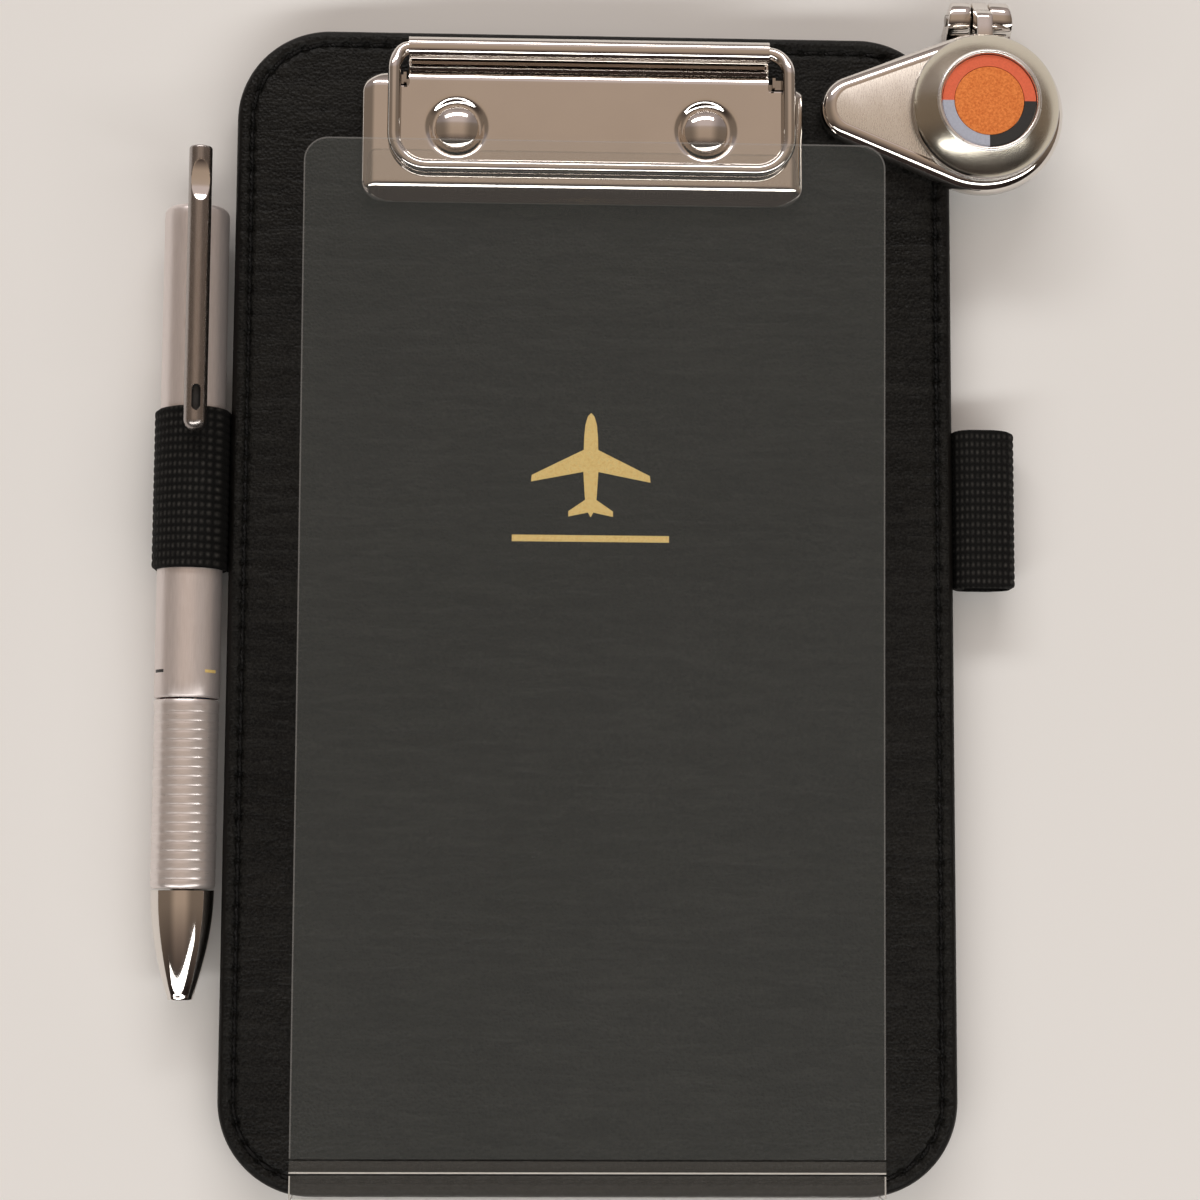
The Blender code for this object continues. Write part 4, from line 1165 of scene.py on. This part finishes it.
def extruded_profile(shape, profile, x, slot=0, bevel=0.25):
    """Prism along X of a (y, z) outline, with its two ends chamfered."""
    middle = sum((Vector(p) for p in profile), Vector((0, 0))) / len(profile)
    stations = ((x[0], bevel), (x[0] + bevel * 0.3, bevel * 0.3), (x[0] + bevel, 0.0))
    stations += ((x[1] - bevel, 0.0), (x[1] - bevel * 0.3, bevel * 0.3), (x[1], bevel))
    rings = []
    for place, pull in stations:
        ring = []
        for point in profile:
            inward = middle - Vector(point)
            ring.append((place, *(Vector(point) + inward.normalized() * pull)))
        rings.append(ring)
    skin(shape, rings, slots=[slot] * len(stations))


def arc(centre, radius, start, end, steps):
    angles = [radians(start + (end - start) * step / steps) for step in range(steps + 1)]
    return [(centre[0] + radius * cos(a), centre[1] + radius * sin(a)) for a in angles]


def make_front_jaw():
    low, high = JAW_Z
    levels = [(0.5, low), (0.15, low + 0.08), (0.0, low + 0.3), (0.0, low + 1.4)]
    chamfer_low, chamfer_in, full_turn = low + 1.4, 2.3, radians(80)
    for step in range(1, 13):
        turn = step / 12 * full_turn
        inset = chamfer_in * (1 - cos(turn)) / (1 - cos(full_turn))
        levels.append((inset, chamfer_low + (high - chamfer_low) * sin(turn) / sin(full_turn)))
    levels += [(chamfer_in + 0.12, high - 0.05), (chamfer_in + 0.28, high - 0.05), (chamfer_in + 0.4, high)]
    shape = bmesh.new()
    rings = []
    for inset, z in levels:
        dense = []
        full = teardrop(inset)
        plain = teardrop(0.0)
        for index, point in enumerate(plain):
            pieces = max(1, int((plain[(index + 1) % len(plain)] - point).length / 1.2))
            after = full[(index + 1) % len(full)]
            dense += [(*full[index].lerp(after, step / pieces), z) for step in range(pieces)]
        rings.append(dense)
    slots = [0] * (len(levels) - 2) + [1]
    rows = skin(shape, rings, caps=False, slots=slots)
    shape.faces.new(list(reversed(rows[0])))
    shape.faces.new(rows[-1]).material_index = 1
    knuckle = 3.1
    foot = HINGE[1] - 5.1
    rib = [(foot, high - 0.02), (foot - 1.7, low + 0.6), (foot + 0.8, low + 0.4)]
    rib.append((foot + 3.0, HINGE[2] + 2.2))
    rib += arc((HINGE[1], HINGE[2]), knuckle, 150, 420, 30)
    rib += arc((foot + 3.0, 9.6), 2.2, 5, 80, 8)
    extruded_profile(shape, rib, (HINGE[0] - 1.35, HINGE[0] + 1.35), bevel=0.3)
    bmesh.ops.recalc_face_normals(shape, faces=shape.faces)
    add_piece("jaw_front", shape, [CHROME, JAW_SATIN], "front_jaw", ("front_jaw",), sharp=35)


def make_rear_jaw():
    low, high = 0.0, 1.2
    shape = bmesh.new()
    levels = [(0.6, low), (0.2, low + 0.12), (0.05, low + 0.4)]
    levels += [(0.05, high - 0.25), (0.2, high - 0.06), (0.4, high)]
    skin(shape, [[(*p, z) for p in teardrop(REAR_JAW_INSET + inset)] for inset, z in levels])
    lug = [(91.5, high - 0.2), (91.5, low + 0.25), (HINGE[1] - 1.3, low + 0.25)]
    lug += arc((HINGE[1], HINGE[2]), 3.05, -50, 165, 28)
    for side in (-1, 1):
        x = sorted((HINGE[0] + side * 1.65, HINGE[0] + side * 5.55))
        extruded_profile(shape, lug, x, bevel=0.45)
    for vert in shape.verts:
        if vert.co.y > HINGE[1] - 1.5:
            narrow = 1 - 0.12 * smoothstep(vert.co.y, HINGE[1] - 1.5, HINGE[1] + 3.1)
            vert.co.x = HINGE[0] + (vert.co.x - HINGE[0]) * narrow
    bmesh.ops.recalc_face_normals(shape, faces=shape.faces)
    add_piece("jaw_rear", shape, [CHROME], "root", ("rear_jaw",), sharp=35)
    for node in ("hinge_pin", "jaw_spring", "jaw_magnet"):
        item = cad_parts[node]
        item.data.materials.clear()
        item.data.materials.append(STEEL)


def make_marker():
    centre = (*COIN, 0)
    corners = [
        (11.6, COIN_Z), (COIN_R, COIN_Z + 0.3), (COIN_R, COIN_Z + 0.75),
        (12.0, COIN_Z + 0.85), (12.0, COIN_Z + 1.05),
        (COIN_R, COIN_Z + 1.15), (COIN_R, COIN_Z + 1.6), (12.0, COIN_Z + 1.7), (12.0, COIN_Z + 1.85),
        (COIN_R - 0.05, COIN_Z + 2.0),
    ]
    rise = COIN_TOP - 0.2 - corners[-1][1]
    for step in range(1, 15):
        part = step / 14
        corners.append((COIN_R - 0.05 - (COIN_R - 8.6) * part, COIN_Z + 2.0 + rise * part**0.72))
    corners += [(8.55, COIN_TOP - 0.12), (8.35, COIN_TOP), (8.1, COIN_TOP - 0.05), (WINDOW_R, COIN_TOP - 0.3)]
    corners.append((WINDOW_R, COIN_TOP - 1.15))
    profile = [(0, COIN_Z)] + rounded(corners, 0.12, 4) + [(0, COIN_TOP - 1.15)]
    slots = []
    for (first_r, first_z), (second_r, _) in zip(profile, profile[1:]):
        satin = 8.7 < (first_r + second_r) / 2 < 12.2 and first_z > COIN_Z + 1.9
        rim = WINDOW_R - 0.1 < first_r < 8.75 and first_z > COIN_TOP - 0.5
        slots.append(1 if satin else 2 if rim else 0)
    bezel = turned(profile, centre, steps=160, slots=slots)
    metals = [CHROME_DARK, BEZEL_SATIN, RIM_CHROME]
    add_piece("bezel", bezel, metals, "marker", ("marker_bezel",), sharp=30)

    floor_z = COIN_TOP - 0.9
    ring = (SENSOR_R + 0.06, WINDOW_R - 0.12)
    shape = bmesh.new()
    sectors = ((0, 180, 0), (180, 270, 1), (270, 360, 2))
    for start, end, slot in sectors:
        steps = (end - start) // 3
        rings = []
        for step in range(steps + 1):
            angle = radians(start + 3 * step)
            corners = [(ring[0], floor_z), (ring[1], floor_z)]
            corners += [(ring[1], floor_z + 0.28), (ring[0], floor_z + 0.28)]
            rings.append([(COIN[0] + r * cos(angle), COIN[1] + r * sin(angle), z) for r, z in corners])
        skin(shape, rings, slots=[slot] * len(rings))
    bmesh.ops.recalc_face_normals(shape, faces=shape.faces)
    inks = [ORANGE_CARD, GREY_CARD, BLACK_CARD]
    add_piece("colour_card", shape, inks, "marker", ("indicator_card",))
    profile = [(0, floor_z), (SENSOR_R - 0.05, floor_z), (SENSOR_R, floor_z + 0.1)]
    profile += [(SENSOR_R - 0.05, floor_z + 0.3)]
    profile += [(SENSOR_R - 0.35, floor_z + 0.4), (3.0, floor_z + 0.46), (0, floor_z + 0.48)]
    add_piece("sensor_pad", turned(profile, centre, steps=96), [SENSOR], "marker", ("sensor_disc",))


# Pen -----------------------------------------------------------------------------------------


def make_barrel():
    axis = (PEN_X, 0, PEN_Z)
    low, high = BARREL_Y
    corners = [(4.4, low), (PEN_R - 0.25, low), (PEN_R - 0.12, low + 0.12)]
    corners += [(PEN_R, low + 0.35), (PEN_R, high - 2.0)]
    for step in range(1, 9):
        turn = step / 8 * pi / 2
        corners.append((PEN_R - 1.3 * (1 - cos(turn)), high - 1.3 + 1.3 * sin(turn)))
    corners += [(2.35, high), (2.2, high - 0.15), (2.2, high - 1.6), (4.4, high - 1.6)]
    profile = []
    for first, second in zip(corners, corners[1:]):
        pieces = max(1, int(abs(second[1] - first[1]) / 2.5))
        for step in range(pieces):
            part = step / pieces
            profile.append(tuple(a + (b - a) * part for a, b in zip(first, second)))
    profile.append(corners[-1])
    shape = turned(profile, axis, "Y", 96)
    for angle, slot in ((142, 1), (38, 2)):
        rings = []
        for step in range(7):
            place = radians(angle - 13 + 26 * step / 6)
            ring = []
            for radius, y in ((5.2, -12.35), (5.2, -11.85), (PEN_R + 0.012, -11.85), (PEN_R + 0.012, -12.35)):
                ring.append((PEN_X + radius * cos(place), y, PEN_Z + radius * sin(place)))
            rings.append(ring)
        skin(shape, rings, slots=[slot] * 8)
    bmesh.ops.recalc_face_normals(shape, faces=shape.faces)
    finishes = [PEN_SATIN, BLACK_PLASTIC, GOLD]
    add_piece("barrel", shape, finishes, "pen", ("pen_barrel",), sharp=35)


def make_grip():
    """Grip with turned grooves: a rounded ridge between each pair."""
    axis = (PEN_X, 0, PEN_Z)
    low, high = GRIP_Y
    full = PEN_R - 0.05
    profile = [(4.4, low), (full - 0.35, low), (full - 0.18, low + 0.2)]
    start = high - 1.6 - GRIP_RINGS * GRIP_PITCH + 0.2
    profile.append((full - 0.12, start - 0.3))
    for ring in range(GRIP_RINGS):
        base = start + ring * GRIP_PITCH
        for step in range(10):
            part = step / 10
            groove = exp(-(((part - 0.5) / 0.13) ** 2))
            profile.append((full - 0.04 - 0.08 * groove, base + part * GRIP_PITCH))
    profile += [(full, high - 1.2), (full, high - 0.25), (full - 0.2, high), (4.4, high)]
    add_piece("grip", turned(profile, axis, "Y", 96), [PEN_GRIP], "pen", ("pen_grip",), sharp=50)


def make_tip():
    axis = (PEN_X, 0, PEN_Z)
    low, high = TIP_Y
    length = high - low
    end_r, full = 2.05, PEN_R - 0.2
    profile = [(1.25, low + 3.0), (1.25, low + 0.1), (1.4, low), (end_r - 0.12, low)]
    profile += [(end_r, low + 0.15), (end_r + 0.02, low + 0.5)]
    for step in range(1, 31):
        part = step / 30
        radius = end_r + (full - end_r) * sin(part * pi / 2) ** 0.86
        profile.append((radius, low + 0.5 + (length - 0.5) * part))
    profile += [(4.3, high), (3.6, high - 5.0), (2.2, low + 4.5)]
    add_piece("tip", turned(profile, axis, "Y", 96), [CHROME], "pen", ("pen_tip",), sharp=40)


def rod_height(y, base):
    """Height of the rod's upper side, which is cut down by an oval polished facet near its top."""
    facet = ((64.6 + 71.5) / 2, 3.45)
    along = (y - facet[0]) / facet[1]
    if abs(along) < 1:
        limit = ROD_R - 0.75 * (1 - along * along) ** 0.9
        base = min(base, limit)
    return base


def make_rod():
    """Clip rod with its facet, slot and rounded foot, bent over into the stem that pushes the refill."""
    shape = bmesh.new()
    low, high = ROD_Y
    stations = []
    for step in range(14):
        turn = step / 13 * pi / 2
        stations.append((low + 1.9 * (1 - cos(turn)), max(0.02, ROD_R * sin(turn))))
    stations += [(y, ROD_R) for y in spaced(low + 1.9, high - 0.35, 0.18)[1:]]
    stations += [(high - 0.18, ROD_R - 0.04), (high - 0.05, ROD_R - 0.14), (high, ROD_R - 0.32)]
    sides = 96
    slot_y, slot_half = (29.9, 34.0), 0.62
    rings = []
    for y, radius in stations:
        ring = []
        for step in range(sides):
            angle = 2 * pi * step / sides
            x, z = radius * cos(angle), radius * sin(angle)
            if z > 0:
                z = rod_height(y, z)
                reach = max(0.0, slot_y[0] + slot_half - y, y - slot_y[1] + slot_half)
                if reach < slot_half and abs(x) < sqrt(slot_half**2 - reach**2):
                    z = z - 0.85
            ring.append((PEN_X + x, y, PEN_Z + ROD_UP + z))
        rings.append(ring)
    skin(shape, rings)
    for face in shape.faces:
        middle = face.calc_center_median()
        height = middle.z - PEN_Z - ROD_UP
        aside = abs(middle.x - PEN_X)
        round_z = sqrt(max(0.0, ROD_R**2 - aside**2))
        on_facet = 64.6 < middle.y < 71.5 and height > 0.8 and height < round_z - 0.03
        near_slot = slot_y[0] - 0.1 < middle.y < slot_y[1] + 0.1 and aside < slot_half + 0.05
        in_slot = near_slot and 0 < height < round_z - 0.3
        face.material_index = 1 if on_facet else 2 if in_slot else 0
    web_y = (high - 2.7, high - 0.25)
    corners = [(-1.55, 0.2), (1.55, 0.2), (1.55, ROD_UP), (-1.55, ROD_UP)]
    web = [[(PEN_X + x, y, PEN_Z + z) for x, z in corners] for y in web_y]
    skin(shape, web)
    roll = Matrix.Rotation(radians(ROD_ROLL), 4, "Y")
    axis = Matrix.Translation((PEN_X, 0, PEN_Z))
    bmesh.ops.transform(shape, matrix=axis @ roll @ axis.inverted(), verts=shape.verts)
    stem = []
    for radius, y in ((0.02, 22.0), (STEM_R, 22.0), (STEM_R, high - 0.1), (0.02, high - 0.1)):
        angles = [2 * pi * step / 40 for step in range(40)]
        stem.append([(PEN_X + radius * cos(a), y, PEN_Z + radius * sin(a)) for a in angles])
    skin(shape, stem)
    bmesh.ops.recalc_face_normals(shape, faces=shape.faces)
    finishes = [ROD_SATIN, CHROME, BLACK_PLASTIC]
    add_piece("clip_rod", shape, finishes, "clicker", ("pen_clip",), sharp=32)


def make_pen():
    make_barrel()
    make_grip()
    make_tip()
    make_rod()
    inside = {
        "refill_guide": BLACK_PLASTIC,
        "refill_black": BLACK_PLASTIC,
        "refill_blue": BLUE_PLASTIC,
        "refill_red": RED_PLASTIC,
        "refill_spring": STEEL,
    }
    for node, material in inside.items():
        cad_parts[node].data.materials.clear()
        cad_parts[node].data.materials.append(material)


make_stage()
make_board()
make_clip()
make_film()
make_hem()
make_tab()
make_mark()
make_front_jaw()
make_rear_jaw()
make_marker()
make_pen()
